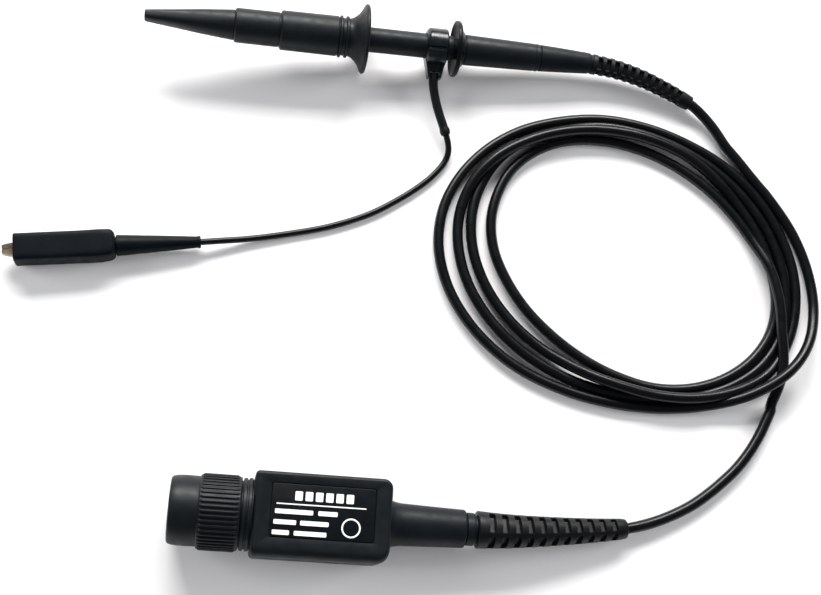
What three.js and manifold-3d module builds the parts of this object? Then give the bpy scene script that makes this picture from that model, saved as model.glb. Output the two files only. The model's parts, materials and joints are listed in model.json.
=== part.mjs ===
// Oscilloscope probe: a slim probe body with a retractable hook tip and a ground lead with a spring
// clip, joined by a long coiled cable to a compensation box that ends in a bayonet coaxial plug.
// Millimetres, +Z up. The parts lie on the plane z = 0.
import * as THREE from "three";
import { mergeVertices } from "three/addons/utils/BufferGeometryUtils.js";
import Module from "manifold-3d";

const wasm = await Module();
wasm.setup();

// ---------------------------------------------------------------- sizes and places

const GAP = 0.3; // clear space between neighbouring mouldings
const SLIM = 0.1; // running clearance around small turned pieces
const WELD = 1e-4;

const ROUND = 28; // sides of large turned pieces
const FINE = 18; // sides of small turned pieces
const CORD_SIDES = 8;
const RELIEF_SIDES = 16;

// The probe's own frame: x runs from the nose tip to the cable along the barrel axis.
const PROBE = { origin: [-79.5, 72.55, 13.88], yaw: -3.38, pitch: 3.8 };
// The compensation box's own frame: x runs from the plug's front face to the cable.
const BOX = { origin: [-70.6, -62.94, 10.42], yaw: -4.79, pitch: 2.2 };
// The spring clip's own frame: x runs from the jaw tips to the lead, z is its hinge direction.
const CLIP = { origin: [-116.3, 7.15, 4.65], yaw: 3.4, pitch: 1.9 };

const NOSE = { root: 24.8, slotHalfWidth: 0.55, slotHalfHeight: 1.1, spigotRadius: 3.5, spigotEnd: 30.7 };
const COLLAR = { front: 24.8, rear: 37.3, radius: 4.85, bore: 3.8, spigotRadius: 4.0, spigotEnd: 40.5 };
const GRIP = { front: 37.6, rear: 53.9, frontRadius: 5.55, rearRadius: 5.65, bore: 4.3 };
const FLANGE = { front: 54.2, rimRadius: 9.8, bore: 4.2 };
const CARRIER = { front: 44.0, rear: 56.5, flangeRadius: 3.6, radius: 3.3, bore: 2.75 };
const HOOK_WIRE = { radius: 0.35, bend: 0.62 };
const HOOK_SPRING = { front: 31.3, rear: 43.7, meanRadius: 2.6, wire: 0.25, turns: 7 };
const BARREL = { front: 57.5, rear: 87.2, radius: 3.53 };
const TIP = { radius: 2.55, front: 46.2, pinRadius: 0.45 };
const CONTACT_BAND = { front: 79.9, rear: 85.5, inner: 3.25, outer: 3.6 };
const GUARD = { front: 87.5, rear: 90.4, radius: 8.03, bore: 3.1 };
const HOUSING = { rear: 112.9, frontRadius: 4.37, rearRadius: 3.9 };
const BOOT = { front: 113.2, rear: 128.5, frontRadius: 3.8, rearRadius: 3.0 };

const GROUND = {
  front: 79.4, rear: 85.4, chamfer: 0.8, inner: 3.72, outer: 5.3,
  drop: 12, // degrees the tail points below level
  tailStart: 4.2, tailEnd: 9.3, wideHalf: 3.1, narrowHalf: 1.95, thickHalf: 2.1,
};
const STEM_RADIUS = 1.35;
const STEM_PATH = [[2.5, 52.6, 4.9], [3.4, 49.2, 4.1], [4.6, 45.6, 3.3], [5.5, 42.9, 2.7]];

const LEAD_RADIUS = 0.9;
const LEAD_PATH = [
  [5.62, 42.45, 2.6], [6.1, 40.2, 2.1], [6.1, 38.0, 1.6], [5.1, 35.4, 1.1], [1.5, 31.1, 0.95],
  [-3.3, 27.2, 0.95], [-8.2, 24.0, 0.95], [-16.8, 19.4, 0.95], [-28.2, 15.6, 0.95],
  [-39.4, 13.4, 1.0], [-50.5, 11.7, 1.5], [-58.5, 10.8, 2.4], [-63.2, 10.32, 2.88],
];

const CABLE_RADIUS = 1.5;
const PROBE_RELIEF_PATH = [
  [49.0, 64.9, 5.3], [56.3, 63.6, 4.8], [64.3, 61.1, 4.2], [72.4, 57.4, 3.5], [79.0, 53.7, 3.0],
];
const CABLE_IN_PATH = [[79.4, 53.4, 2.95], [82.6, 50.4, 2.5], [85.8, 46.4, 2.1], [88.9, 41.2, 1.8]];
const CABLE_OUT_PATH = [
  [96.6, -33.5, 1.6], [95.3, -36.9, 1.6], [93.4, -40.7, 1.6], [90.6, -45.4, 1.6], [87.2, -50.0, 1.6],
  [83.4, -54.1, 1.6], [79.2, -57.6, 1.6], [74.4, -61.1, 1.6], [69.2, -64.2, 1.7], [63.4, -66.7, 1.9],
  [57.4, -68.6, 2.2], [50.7, -69.88, 2.8],
];
const BOX_RELIEF_PATH = [
  [8.65, -69.56, 7.4], [17.8, -70.15, 6.85], [27.7, -70.35, 5.75], [38.7, -70.3, 4.35], [45.9, -70.1, 3.4],
  [50.3, -69.9, 2.85],
];

// The coil is an oval ring. A point on it is the centre plus a scale times the two half axes.
const COIL = { centre: [57.2, 5.9], along: [48.4, -25.8], across: [-21.5, -37.2], low: 0.05, top: 5.5 };
// Scales of its outer and inner outlines every 15 degrees.
const COIL_OUTER = [
  1.045, 1.035, 1.01, 0.985, 0.985, 1.01, 1.04, 1.08, 1.095, 1.09, 1.075, 1.045, 1.01, 0.99, 0.98, 0.98, 0.98,
  0.985, 0.99, 1.1, 1.045, 1.04, 1.04, 1.045,
];
const COIL_INNER = [
  0.8, 0.8, 0.8, 0.8, 0.79, 0.76, 0.72, 0.7, 0.69, 0.695, 0.705, 0.72, 0.74, 0.76, 0.775, 0.78, 0.77,
  0.75, 0.73, 0.715, 0.705, 0.715, 0.74, 0.775,
];

const PLUG = { ribsFront: 7.5, ribsRear: 18.0, gripRadius: 8.95, ribRoot: 9.45, ribTip: 9.7, ribs: 48 };
const BAYONET = { front: 0.9, rear: 12.0, inner: 4.9, outer: 6.8 };
const NECK_RING = { front: 18.3, rear: 20.7, radius: 9.3, groove: 8.9 };
const CASE = {
  front: 21.0, rear: 56.2, halfWidth: 10.7, halfHeight: 8.2, wall: 1.6, edge: 0.9,
  frontCorner: 1.2, farCorner: 2.4, nearCorner: 3.2,
};
const LABEL = { front: 25.5, rear: 51.8, near: -5.6, far: 7.7, depth: 0.5 };
const NECK = { rear: 76.4, rootRadius: 6.3, frontRadius: 5.5, rearRadius: 4.97, spigot: 3.5 };
const TRIMMER = { x: 43, bodyRadius: 2.5, rotorRadius: 1.5, bore: 1.8 };
const READOUT = { y: 8.6, z: -6.2, radius: 0.55, front: 17.2, rear: 24.9, flange: 0.95 };

// ---------------------------------------------------------------- materials

function material(colour, roughness, metalness = 0) {
  return new THREE.MeshStandardMaterial({ color: colour, roughness, metalness });
}

const BLACK = 0x191b1e;
const satinPlastic = () => material(BLACK, 0.5);
const softPlastic = () => material(0x1d1f22, 0.65);
const rubber = () => material(0x17181a, 0.7);
const jacket = () => material(0x141517, 0.35);
const nickel = () => material(0xb9b4a8, 0.3, 1);
const gold = () => material(0xd1a648, 0.28, 1);
const steel = () => material(0xa6a7a8, 0.35, 1);
const white = () => material(0xe6e3da, 0.5);

// ---------------------------------------------------------------- solids

/** Six times the volume inside the faces; negative when they point inwards. */
function signedVolume(points, triangles) {
  let sum = 0;
  const a = new THREE.Vector3();
  const b = new THREE.Vector3();
  const c = new THREE.Vector3();
  for (let i = 0; i < triangles.length; i += 3) {
    a.fromArray(points, 3 * triangles[i]);
    b.fromArray(points, 3 * triangles[i + 1]);
    c.fromArray(points, 3 * triangles[i + 2]);
    sum += a.dot(b.cross(c));
  }
  return sum;
}

/** A closed solid from a geometry, with its seams welded and its faces pointing outwards. */
function solid(geometry) {
  const bare = new THREE.BufferGeometry();
  bare.setAttribute("position", geometry.getAttribute("position").clone());
  if (geometry.index) {
    bare.setIndex(geometry.index.clone());
  }
  const welded = mergeVertices(bare, WELD);
  const points = Float32Array.from(welded.getAttribute("position").array);
  const triangles = [];
  const index = welded.index.array;
  for (let i = 0; i < index.length; i += 3) {
    const [a, b, c] = [index[i], index[i + 1], index[i + 2]];
    if (a !== b && b !== c && c !== a) {
      triangles.push(a, b, c);
    }
  }
  if (signedVolume(points, triangles) < 0) {
    triangles.reverse();
  }
  return new wasm.Manifold(
    new wasm.Mesh({ numProp: 3, vertProperties: points, triVerts: Uint32Array.from(triangles) }),
  );
}

function toGeometry(manifold) {
  const mesh = manifold.getMesh();
  const indexed = new THREE.BufferGeometry();
  indexed.setAttribute("position", new THREE.BufferAttribute(Float32Array.from(mesh.vertProperties), 3));
  indexed.setIndex(Array.from(mesh.triVerts));
  const flat = indexed.toNonIndexed();
  flat.computeVertexNormals();
  return flat;
}

/** Turned about x. The profile is a list of [x, radius]. */
function turned(profile, sides = FINE) {
  const points = profile.map(([x, r]) => new THREE.Vector2(r, x));
  const geometry = new THREE.LatheGeometry(points, sides);
  geometry.rotateZ(-Math.PI / 2);
  return solid(geometry);
}

/** A solid turned shape: its outline from the axis at the front to the axis at the rear. */
function turnedSolid(outline, sides = FINE) {
  const first = outline[0][0];
  const last = outline[outline.length - 1][0];
  return turned([[first, 0], ...outline, [last, 0]], sides);
}

/** A turned ring: its outer outline front to rear, then its inner outline rear to front. */
function turnedRing(outer, inner, sides = FINE) {
  return turned([...outer, ...inner, outer[0]], sides);
}

function rod(front, rear, radius, sides = FINE) {
  return turnedSolid([[front, radius], [rear, radius]], sides);
}

function tube(front, rear, outer, inner, sides = FINE) {
  return turnedRing([[front, outer], [rear, outer]], [[rear, inner], [front, inner]], sides);
}

/** A rod along z. */
function post(x, y, low, high, radius, sides = FINE) {
  const geometry = new THREE.CylinderGeometry(radius, radius, high - low, sides);
  geometry.rotateX(Math.PI / 2);
  geometry.translate(x, y, (low + high) / 2);
  return solid(geometry);
}

function block([x0, x1], [y0, y1], [z0, z1]) {
  const geometry = new THREE.BoxGeometry(x1 - x0, y1 - y0, z1 - z0);
  geometry.translate((x0 + x1) / 2, (y0 + y1) / 2, (z0 + z1) / 2);
  return solid(geometry);
}

/** Closed solid through rings of points, all with the same count, capped at both ends. */
function loft(rings) {
  const sides = rings[0].length;
  const points = rings.flat().flatMap((p) => [p.x, p.y, p.z]);
  const index = [];
  for (let i = 0; i + 1 < rings.length; i++) {
    for (let j = 0; j < sides; j++) {
      const a = i * sides + j;
      const b = i * sides + ((j + 1) % sides);
      index.push(a, a + sides, b, b, a + sides, b + sides);
    }
  }
  const last = (rings.length - 1) * sides;
  for (let j = 1; j + 1 < sides; j++) {
    index.push(0, j, j + 1);
    index.push(last, last + j + 1, last + j);
  }
  const geometry = new THREE.BufferGeometry();
  geometry.setAttribute("position", new THREE.Float32BufferAttribute(points, 3));
  geometry.setIndex(index);
  return solid(geometry);
}

/** A ring of points across x: an oval that grows squarer as power rises above 2. */
function ovalRing(x, halfY, halfZ, power = 2, sides = FINE) {
  const ring = [];
  for (let j = 0; j < sides; j++) {
    const angle = (2 * Math.PI * j) / sides;
    const c = Math.cos(angle);
    const s = Math.sin(angle);
    const y = halfY * Math.sign(c) * Math.abs(c) ** (2 / power);
    const z = halfZ * Math.sign(s) * Math.abs(s) ** (2 / power);
    ring.push(new THREE.Vector3(x, y, z));
  }
  return ring;
}

function curveThrough(points) {
  return new THREE.CatmullRomCurve3(points.map((p) => new THREE.Vector3(...p)), false, "centripetal");
}

/** A plain round cord along a list of points. */
function cord(points, radius, steps, sides = CORD_SIDES) {
  const section = new THREE.Shape();
  for (let j = 0; j < sides; j++) {
    const angle = (2 * Math.PI * j) / sides;
    const [x, y] = [radius * Math.cos(angle), radius * Math.sin(angle)];
    if (j === 0) {
      section.moveTo(x, y);
    } else {
      section.lineTo(x, y);
    }
  }
  section.closePath();
  const settings = { steps, extrudePath: curveThrough(points), curveSegments: sides };
  return solid(new THREE.ExtrudeGeometry(section, settings));
}

/** The frame of a curve that stays level: along it, level across it, and up. */
function levelFrame(curve, t) {
  const along = curve.getTangentAt(t);
  const across = new THREE.Vector3(0, 0, 1).cross(along).normalize();
  const up = along.clone().cross(across);
  return { at: curve.getPointAt(t), along, across, up };
}

/** A tapered round boot along a curve, with rows of slots cut round it. */
function slottedRelief(path, { startRadius, endRadius, slots, first, pitch, slotWidth, turn, cuff }) {
  const curve = curveThrough(path);
  const length = curve.getLength();
  const rings = [];
  const steps = 8;
  const radiusAt = (t) => startRadius + (endRadius - startRadius) * t;
  for (let i = 0; i <= steps; i++) {
    const t = i / steps;
    const { at, across, up } = levelFrame(curve, t);
    const ring = [];
    for (let j = 0; j < RELIEF_SIDES; j++) {
      const angle = (2 * Math.PI * (j + 0.5)) / RELIEF_SIDES;
      const arm = across.clone().multiplyScalar(Math.cos(angle)).addScaledVector(up, Math.sin(angle));
      ring.push(at.clone().addScaledVector(arm, radiusAt(t) * (i === steps ? cuff : 1)));
    }
    rings.push(ring);
  }
  let boot = loft(rings);
  const rows = 4;
  for (let i = 0; i < slots; i++) {
    const t = (first + i * pitch) / length;
    const radius = radiusAt(t);
    const { at, along, across, up } = levelFrame(curve, t);
    for (let row = 0; row < rows; row++) {
      const angle = THREE.MathUtils.degToRad(turn + (360 * row) / rows);
      const out = up.clone().multiplyScalar(Math.cos(angle)).addScaledVector(across, Math.sin(angle));
      const side = out.clone().cross(along);
      const cutter = new THREE.BoxGeometry(slotWidth, 1.15 * radius, radius);
      const centre = at.clone().addScaledVector(out, 1.22 * radius);
      cutter.applyMatrix4(new THREE.Matrix4().makeBasis(along, side, out).setPosition(centre));
      boot = boot.subtract(solid(cutter));
    }
  }
  return boot;
}

function rotatedAboutX(manifold, degrees) {
  return manifold.rotate([degrees, 0, 0]);
}

// ---------------------------------------------------------------- groups

const group = new THREE.Group();
group.name = "oscilloscope_probe";

function framedGroup({ origin, yaw, pitch }) {
  const framed = new THREE.Group();
  framed.position.set(...origin);
  framed.rotation.set(0, THREE.MathUtils.degToRad(pitch), THREE.MathUtils.degToRad(yaw), "ZYX");
  group.add(framed);
  return framed;
}

function place(parent, name, manifold, look) {
  const mesh = new THREE.Mesh(toGeometry(manifold), look);
  mesh.name = name;
  parent.add(mesh);
}

const probe = framedGroup(PROBE);
const box = framedGroup(BOX);
const clip = framedGroup(CLIP);

// ---------------------------------------------------------------- retractable hook tip

/** Tapered nose with a slot for the hook along its middle and a spigot into the front collar. */
function hookNose() {
  const taper = loft([
    ovalRing(0, 1.35, 1.7, 3),
    ovalRing(8, 2.3, 2.55, 2.6),
    ovalRing(16, 3.3, 3.4, 2.3),
    ovalRing(NOSE.root - GAP, 4.25, 4.25),
  ]);
  const spigot = rod(NOSE.root - 2, NOSE.spigotEnd, NOSE.spigotRadius);
  const slot = block(
    [-1, NOSE.spigotEnd + 1],
    [-NOSE.slotHalfWidth, NOSE.slotHalfWidth],
    [-NOSE.slotHalfHeight, NOSE.slotHalfHeight],
  );
  return taper.add(spigot).subtract(slot);
}

/** Front collar: joins the nose to the grip, with a shoulder inside that the spring pushes. */
function hookCollar() {
  const { front, rear, radius, bore, spigotRadius, spigotEnd } = COLLAR;
  return turnedRing(
    [
      [front, radius - 0.3], [front + 0.5, radius], [rear, radius], [rear, spigotRadius],
      [spigotEnd, spigotRadius],
    ],
    [[spigotEnd, bore], [front, bore]],
    ROUND,
  );
}

function hookGrip() {
  const { front, rear, frontRadius, rearRadius, bore } = GRIP;
  return turnedRing(
    [[front, frontRadius - 0.2], [front + 0.4, frontRadius], [rear, rearRadius]],
    [[rear, bore], [front, bore]],
    ROUND,
  );
}

/** Trumpet-shaped finger flange with two raised rings in front of it. */
function hookFlange() {
  const { front, rimRadius, bore } = FLANGE;
  return turnedRing(
    [
      [front, 5.4], [front, 5.95], [front + 0.8, 5.95], [front + 0.8, 5.35], [56.0, 5.35], [56.0, 5.9],
      [56.8, 5.9], [56.8, 5.3], [58.4, 5.9], [60.0, 7.4], [61.1, rimRadius - 0.2], [61.5, rimRadius],
      [62.0, rimRadius - 0.15],
    ],
    [[62.3, rimRadius - 0.6], [61.6, 6.4], [59.6, bore], [front, bore]],
    ROUND,
  );
}

/** Hook wire: a straight shank that doubles back in a small hook at the nose tip. */
function hookWire() {
  const { radius, bend } = HOOK_WIRE;
  return cord(
    [
      [CARRIER.front + 1.2, 0, 0], [CARRIER.front - 4, 0, 0], [30, 0, -0.1], [12, 0, -0.45], [4, 0, -bend],
      [2.0, 0, -bend], [1.2, 0, -0.4], [0.95, 0, 0], [1.2, 0, 0.4], [2.0, 0, bend], [3.6, 0, bend],
    ],
    radius,
    30,
  );
}

/** Carrier that holds the hook wire and is pushed on the probe tip. */
function hookCarrier() {
  const { front, rear, flangeRadius, radius, bore } = CARRIER;
  const wireBore = HOOK_WIRE.radius + SLIM / 2;
  return turnedRing(
    [[front, flangeRadius], [front + 1.2, flangeRadius], [front + 1.2, radius], [rear, radius]],
    [[rear, bore], [front + 1.5, bore], [front + 1.5, wireBore], [front, wireBore]],
  );
}

function helix(front, rear, meanRadius, turns, pointsPerTurn) {
  const points = [];
  const count = turns * pointsPerTurn;
  for (let i = 0; i <= count; i++) {
    const angle = (2 * Math.PI * i) / pointsPerTurn;
    const x = front + ((rear - front) * i) / count;
    points.push([x, meanRadius * Math.cos(angle), meanRadius * Math.sin(angle)]);
  }
  return points;
}

function hookSpring() {
  const { front, rear, meanRadius, wire, turns } = HOOK_SPRING;
  return cord(helix(front + wire, rear - wire, meanRadius, turns, 9), wire, turns * 9, 5);
}

place(probe, "hook_nose", hookNose(), satinPlastic());
place(probe, "hook_collar", hookCollar(), satinPlastic());
place(probe, "hook_grip", hookGrip(), satinPlastic());
place(probe, "hook_flange", hookFlange(), satinPlastic());
place(probe, "hook_wire", hookWire(), nickel());
place(probe, "hook_carrier", hookCarrier(), softPlastic());
place(probe, "hook_spring", hookSpring(), steel());

// ---------------------------------------------------------------- probe body

/** Barrel with a groove for the ground contact band and a spigot through the finger guard. */
function probeBarrel() {
  const { front, rear, radius } = BARREL;
  const grooveRadius = CONTACT_BAND.inner - SLIM;
  const spigotRadius = GUARD.bore - SLIM;
  return turnedSolid(
    [
      [front, radius - 0.3], [front + 0.3, radius], [CONTACT_BAND.front - SLIM, radius],
      [CONTACT_BAND.front - SLIM, grooveRadius], [CONTACT_BAND.rear + SLIM, grooveRadius],
      [CONTACT_BAND.rear + SLIM, radius], [rear, radius], [rear, spigotRadius],
      [GUARD.rear, spigotRadius],
    ],
    ROUND,
  );
}

function probeTip() {
  const { radius, front } = TIP;
  const cone = [[front, TIP.pinRadius + 0.4], [front + 2.2, radius - 0.6], [front + 3.4, radius - 0.6]];
  return turnedRing(
    [...cone, [front + 3.4, radius], [BARREL.front - SLIM, radius]],
    [[BARREL.front - SLIM, TIP.pinRadius + 0.05], [front, TIP.pinRadius + 0.05]],
  );
}

/** Finger guard: a disc with a dished front face and a rounded rim. */
function fingerGuard() {
  const { front, rear, radius, bore } = GUARD;
  const rim = radius - 0.5;
  return turnedRing(
    [
      [front + 0.9, 3.9], [front + 0.8, rim - 0.9], [front + 0.15, rim], [front + 0.35, radius - 0.1],
      [front + 0.9, radius], [front + 1.5, radius - 0.1], [front + 1.9, rim], [rear - 0.6, 5.4], [rear, 4.8],
    ],
    [[rear, bore], [front + 0.9, bore]],
    ROUND,
  );
}

function rearHousing() {
  const { rear, frontRadius, rearRadius } = HOUSING;
  const front = GUARD.rear + GAP;
  return turnedSolid(
    [
      [front, frontRadius], [rear - 1.3, rearRadius + 0.1], [rear - 0.9, rearRadius - 0.15],
      [rear, rearRadius - 0.15],
    ],
    ROUND,
  );
}

function cableBoot() {
  const { front, rear, frontRadius, rearRadius } = BOOT;
  return turnedSolid([[front, frontRadius], [rear - 1, rearRadius + 0.05], [rear, rearRadius - 0.1]], ROUND);
}

/** A ring over the contact band, with a funnel-shaped tail that the ground lead leaves through. */
function groundCollar() {
  const { front, rear, chamfer, inner, outer, drop } = GROUND;
  const ring = turnedRing(
    [[front, outer - chamfer], [front + chamfer, outer], [rear, outer]],
    [[rear, inner], [front, inner]],
    ROUND,
  );
  const middle = (front + rear) / 2;
  const funnelSection = (distance, halfX, halfZ) => [
    new THREE.Vector3(middle - halfX, -distance, -halfZ),
    new THREE.Vector3(middle + halfX, -distance, -halfZ),
    new THREE.Vector3(middle + halfX, -distance, halfZ),
    new THREE.Vector3(middle - halfX, -distance, halfZ),
  ];
  const funnel = loft([
    funnelSection(GROUND.tailStart, GROUND.wideHalf, GROUND.thickHalf),
    funnelSection(GROUND.tailEnd, GROUND.narrowHalf, GROUND.thickHalf),
  ]);
  const socketGeometry = new THREE.CylinderGeometry(STEM_RADIUS + GAP, STEM_RADIUS + GAP, 5, FINE);
  socketGeometry.translate(middle, -GROUND.tailEnd, 0);
  return rotatedAboutX(ring.add(funnel).subtract(solid(socketGeometry)), drop);
}

/** A point on the tail's middle line, at a distance from the barrel axis, in the probe's frame. */
function tailPoint(distance) {
  const drop = THREE.MathUtils.degToRad(GROUND.drop);
  const middle = (GROUND.front + GROUND.rear) / 2;
  return new THREE.Vector3(middle, -distance * Math.cos(drop), -distance * Math.sin(drop));
}

place(probe, "probe_tip_insulator", probeTip(), white());
place(probe, "probe_tip_pin", rod(TIP.front - 0.5, BARREL.front - GAP, TIP.pinRadius, 16), gold());
place(probe, "probe_barrel", probeBarrel(), satinPlastic());
place(
  probe,
  "ground_contact_band",
  tube(CONTACT_BAND.front, CONTACT_BAND.rear, CONTACT_BAND.outer, CONTACT_BAND.inner, ROUND),
  nickel(),
);
place(probe, "finger_guard", fingerGuard(), satinPlastic());
place(probe, "rear_housing", rearHousing(), satinPlastic());
place(probe, "cable_boot", cableBoot(), softPlastic());
place(probe, "ground_collar", groundCollar(), material(0x1c2023, 0.35));

probe.updateMatrixWorld(true);
const stemRoot = [GROUND.tailEnd - 1.5, GROUND.tailEnd + 1.5].map((distance) => {
  return tailPoint(distance).applyMatrix4(probe.matrixWorld).toArray();
});
const stemPath = [...stemRoot, ...STEM_PATH];
place(group, "ground_lead_stem", cord(stemPath, STEM_RADIUS, 8, 12), rubber());

const PROBE_RELIEF = {
  startRadius: 3.0, endRadius: 2.25, cuff: 0.93,
  slots: 11, first: 2.2, pitch: 2.56, slotWidth: 1.3, turn: -14,
};
place(group, "probe_strain_relief", slottedRelief(PROBE_RELIEF_PATH, PROBE_RELIEF), rubber());

// ---------------------------------------------------------------- ground lead and spring clip

const COVER = {
  front: 3.1, shoulder: 27.2, rear: 29.6, halfY: 4.05, halfZ: 3.7, wall: 0.75, mouthHalfZ: 1.6,
};
const JAW = {
  halfZ: 1.15, pinX: 19.5, pinRadius: 0.8, pinBore: 0.86, earInner: 1.3, earOuter: 1.8, bite: 0.12,
};
const CLIP_BOOT = { front: 29.9, rear: 52.6, frontRadius: 2.9, rearRadius: 1.55 };

/** Soft cover of the clip: a hollow block, open in front and along the side the jaw swings to. */
function clipCover() {
  const { front, shoulder, rear, halfY, halfZ, wall, mouthHalfZ } = COVER;
  const sides = 32;
  const skin = loft([
    ovalRing(front, halfY - 0.4, halfZ - 0.3, 6, sides),
    ovalRing(front + 0.6, halfY - 0.15, halfZ, 6, sides),
    ovalRing(shoulder - 3.5, halfY + 0.25, halfZ, 6, sides),
    ovalRing(shoulder, halfY - 0.3, halfZ - 0.3, 5, sides),
    ovalRing(rear, 3.3, 3.2, 2.6, sides),
  ]);
  const hollow = block([front - 1, shoulder - 2], [wall - halfY, halfY - wall], [wall - halfZ, halfZ - wall]);
  const mouth = block([front - 1, JAW.pinX - 0.5], [0, halfY + 1], [-mouthHalfZ, mouthHalfZ]);
  return skin.subtract(hollow).subtract(mouth);
}

/** A flat jaw bar on the side given by side (1 or -1), toothed along its bite. */
function jawBar(side) {
  const half = [
    [0, JAW.bite], [0, 1.1], [1.2, 1.45], [9, 2.7], [17.5, 3.0], [23.5, 3.2], [23.5, 2.4], [17.5, 1.9],
    [9, 1.2], [6.6, JAW.bite],
  ];
  const shape = new THREE.Shape(half.map(([x, y]) => new THREE.Vector2(x, side * y)));
  const geometry = new THREE.ExtrudeGeometry(shape, { depth: 2 * JAW.halfZ, bevelEnabled: false });
  geometry.translate(0, 0, -JAW.halfZ);
  let bar = solid(geometry);
  const teeth = 5;
  const toothDepth = 0.3;
  for (let i = 0; i < teeth; i++) {
    const notch = new THREE.CylinderGeometry(toothDepth, toothDepth, 4, 4);
    notch.rotateX(Math.PI / 2);
    notch.translate(1 + i, side * JAW.bite, 0);
    bar = bar.subtract(solid(notch));
  }
  return bar;
}

function pinHole() {
  return post(JAW.pinX, 0, -4, 4, JAW.pinBore);
}

/** Fixed jaw: its bar, with two outer ears that hold the pin. */
function fixedJaw() {
  const { pinX, earInner, earOuter } = JAW;
  const across = [pinX - 1.9, pinX + 1.9];
  const bridge = block(across, [-3.1, -2.1], [-earOuter, earOuter]);
  const upperEar = block(across, [-2.6, 1.3], [earInner, earOuter]);
  const lowerEar = block(across, [-2.6, 1.3], [-earOuter, -earInner]);
  return jawBar(-1).add(bridge).add(upperEar).add(lowerEar).subtract(pinHole());
}

/** Moving jaw: its bar, with two inner ears that turn on the pin on both sides of the spring. */
function movingJaw() {
  const { pinX, halfZ } = JAW;
  const ear = block([pinX - 1.6, pinX + 1.6], [-1.1, 2.3], [-halfZ, halfZ]);
  const springSpace = block([pinX - 2, pinX + 2], [-2, 1.75], [-0.7, 0.7]);
  return jawBar(1).add(ear).subtract(springSpace).subtract(pinHole());
}

function jawSpring() {
  const wire = 0.16;
  const turns = 3;
  const perTurn = 12;
  const points = helix(-0.5, 0.5, 1.15, turns, perTurn).map(([x, y, z]) => [JAW.pinX + z, y, x]);
  return cord(points, wire, turns * perTurn, 6);
}

function clipBoot() {
  const { front, rear, frontRadius, rearRadius } = CLIP_BOOT;
  return turnedSolid([
    [front, frontRadius], [front + 12, 2.2], [rear - 0.5, rearRadius], [rear, rearRadius - 0.2],
  ]);
}

place(group, "ground_lead", cord(LEAD_PATH, LEAD_RADIUS, 48), jacket());
place(clip, "clip_cover", clipCover(), softPlastic());
place(clip, "clip_fixed_jaw", fixedJaw(), nickel());
place(clip, "clip_moving_jaw", movingJaw(), nickel());
place(clip, "clip_jaw_pin", post(JAW.pinX, 0, -1.9, 1.9, JAW.pinRadius), steel());
place(clip, "clip_jaw_spring", jawSpring(), steel());
place(clip, "clip_boot", clipBoot(), rubber());

// ---------------------------------------------------------------- main cable

function coilPoint(degrees, scale) {
  const angle = THREE.MathUtils.degToRad(degrees);
  const along = scale * Math.cos(angle);
  const across = scale * Math.sin(angle);
  return new THREE.Vector2(
    COIL.centre[0] + along * COIL.along[0] + across * COIL.across[0],
    COIL.centre[1] + along * COIL.along[1] + across * COIL.across[1],
  );
}

/** A flat block as high as the coil, with the outline given by scales all round. */
function coilBlock(scales, low, high) {
  const outline = scales.map((scale, i) => coilPoint((360 * i) / scales.length, scale));
  const settings = { depth: high - low, bevelEnabled: false };
  const geometry = new THREE.ExtrudeGeometry(new THREE.Shape(outline), settings);
  geometry.translate(0, 0, low);
  return solid(geometry);
}

/** The outer shape of the coiled turns: a flat oval ring. */
function cableCoil() {
  const opening = coilBlock(COIL_INNER, COIL.low - 1, COIL.top + 1);
  return coilBlock(COIL_OUTER, COIL.low, COIL.top).subtract(opening);
}

place(group, "probe_cable_run", cord(CABLE_IN_PATH, CABLE_RADIUS, 6), jacket());
place(group, "cable_coil", cableCoil(), jacket());
place(group, "box_cable_run", cord(CABLE_OUT_PATH, CABLE_RADIUS, 20), jacket());

const BOX_RELIEF = {
  startRadius: 4.9, endRadius: 2.75, cuff: 0.93,
  slots: 11, first: 3.7, pitch: 3.42, slotWidth: 1.35, turn: 25,
};
place(group, "box_strain_relief", slottedRelief(BOX_RELIEF_PATH, BOX_RELIEF), rubber());

// ---------------------------------------------------------------- plug

/** Coupling grip: a smooth front sleeve and a ribbed rear ring round the bayonet ring. */
function couplingGrip() {
  const { ribsFront, ribsRear, gripRadius, ribRoot, ribTip, ribs } = PLUG;
  const bore = BAYONET.outer + GAP;
  const rearBore = BAYONET.inner + GAP;
  const sleeve = turnedRing(
    [
      [0, gripRadius - 1.1], [0.35, gripRadius - 0.45], [1.4, gripRadius - 0.1], [4, gripRadius],
      [ribsFront, gripRadius - 0.1], [ribsFront, ribRoot - 0.3], [ribsFront + 0.6, ribRoot],
      [ribsRear - 0.4, ribRoot], [ribsRear, ribRoot - 0.3],
    ],
    [[ribsRear, rearBore], [BAYONET.rear + GAP, rearBore], [BAYONET.rear + GAP, bore], [0, bore]],
    PLUG.ribs,
  );
  const rim = new THREE.Shape();
  const pitch = (2 * Math.PI) / ribs;
  const corners = [[0, ribRoot - 0.2], [0.18, ribTip], [0.55, ribTip], [0.73, ribRoot - 0.2]];
  for (let i = 0; i < ribs; i++) {
    for (const [share, radius] of corners) {
      const angle = (i + share) * pitch;
      const [x, y] = [radius * Math.cos(angle), radius * Math.sin(angle)];
      if (i === 0 && share === 0) {
        rim.moveTo(x, y);
      } else {
        rim.lineTo(x, y);
      }
    }
  }
  rim.closePath();
  const geometry = new THREE.ExtrudeGeometry(rim, { depth: ribsRear - ribsFront - 1.2, bevelEnabled: false });
  geometry.rotateY(Math.PI / 2);
  geometry.translate(ribsFront + 0.7, 0, 0);
  const ribRing = solid(geometry).subtract(rod(0, ribsRear + 1, ribRoot - 0.8, ribs));
  return sleeve.add(ribRing);
}

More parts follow.
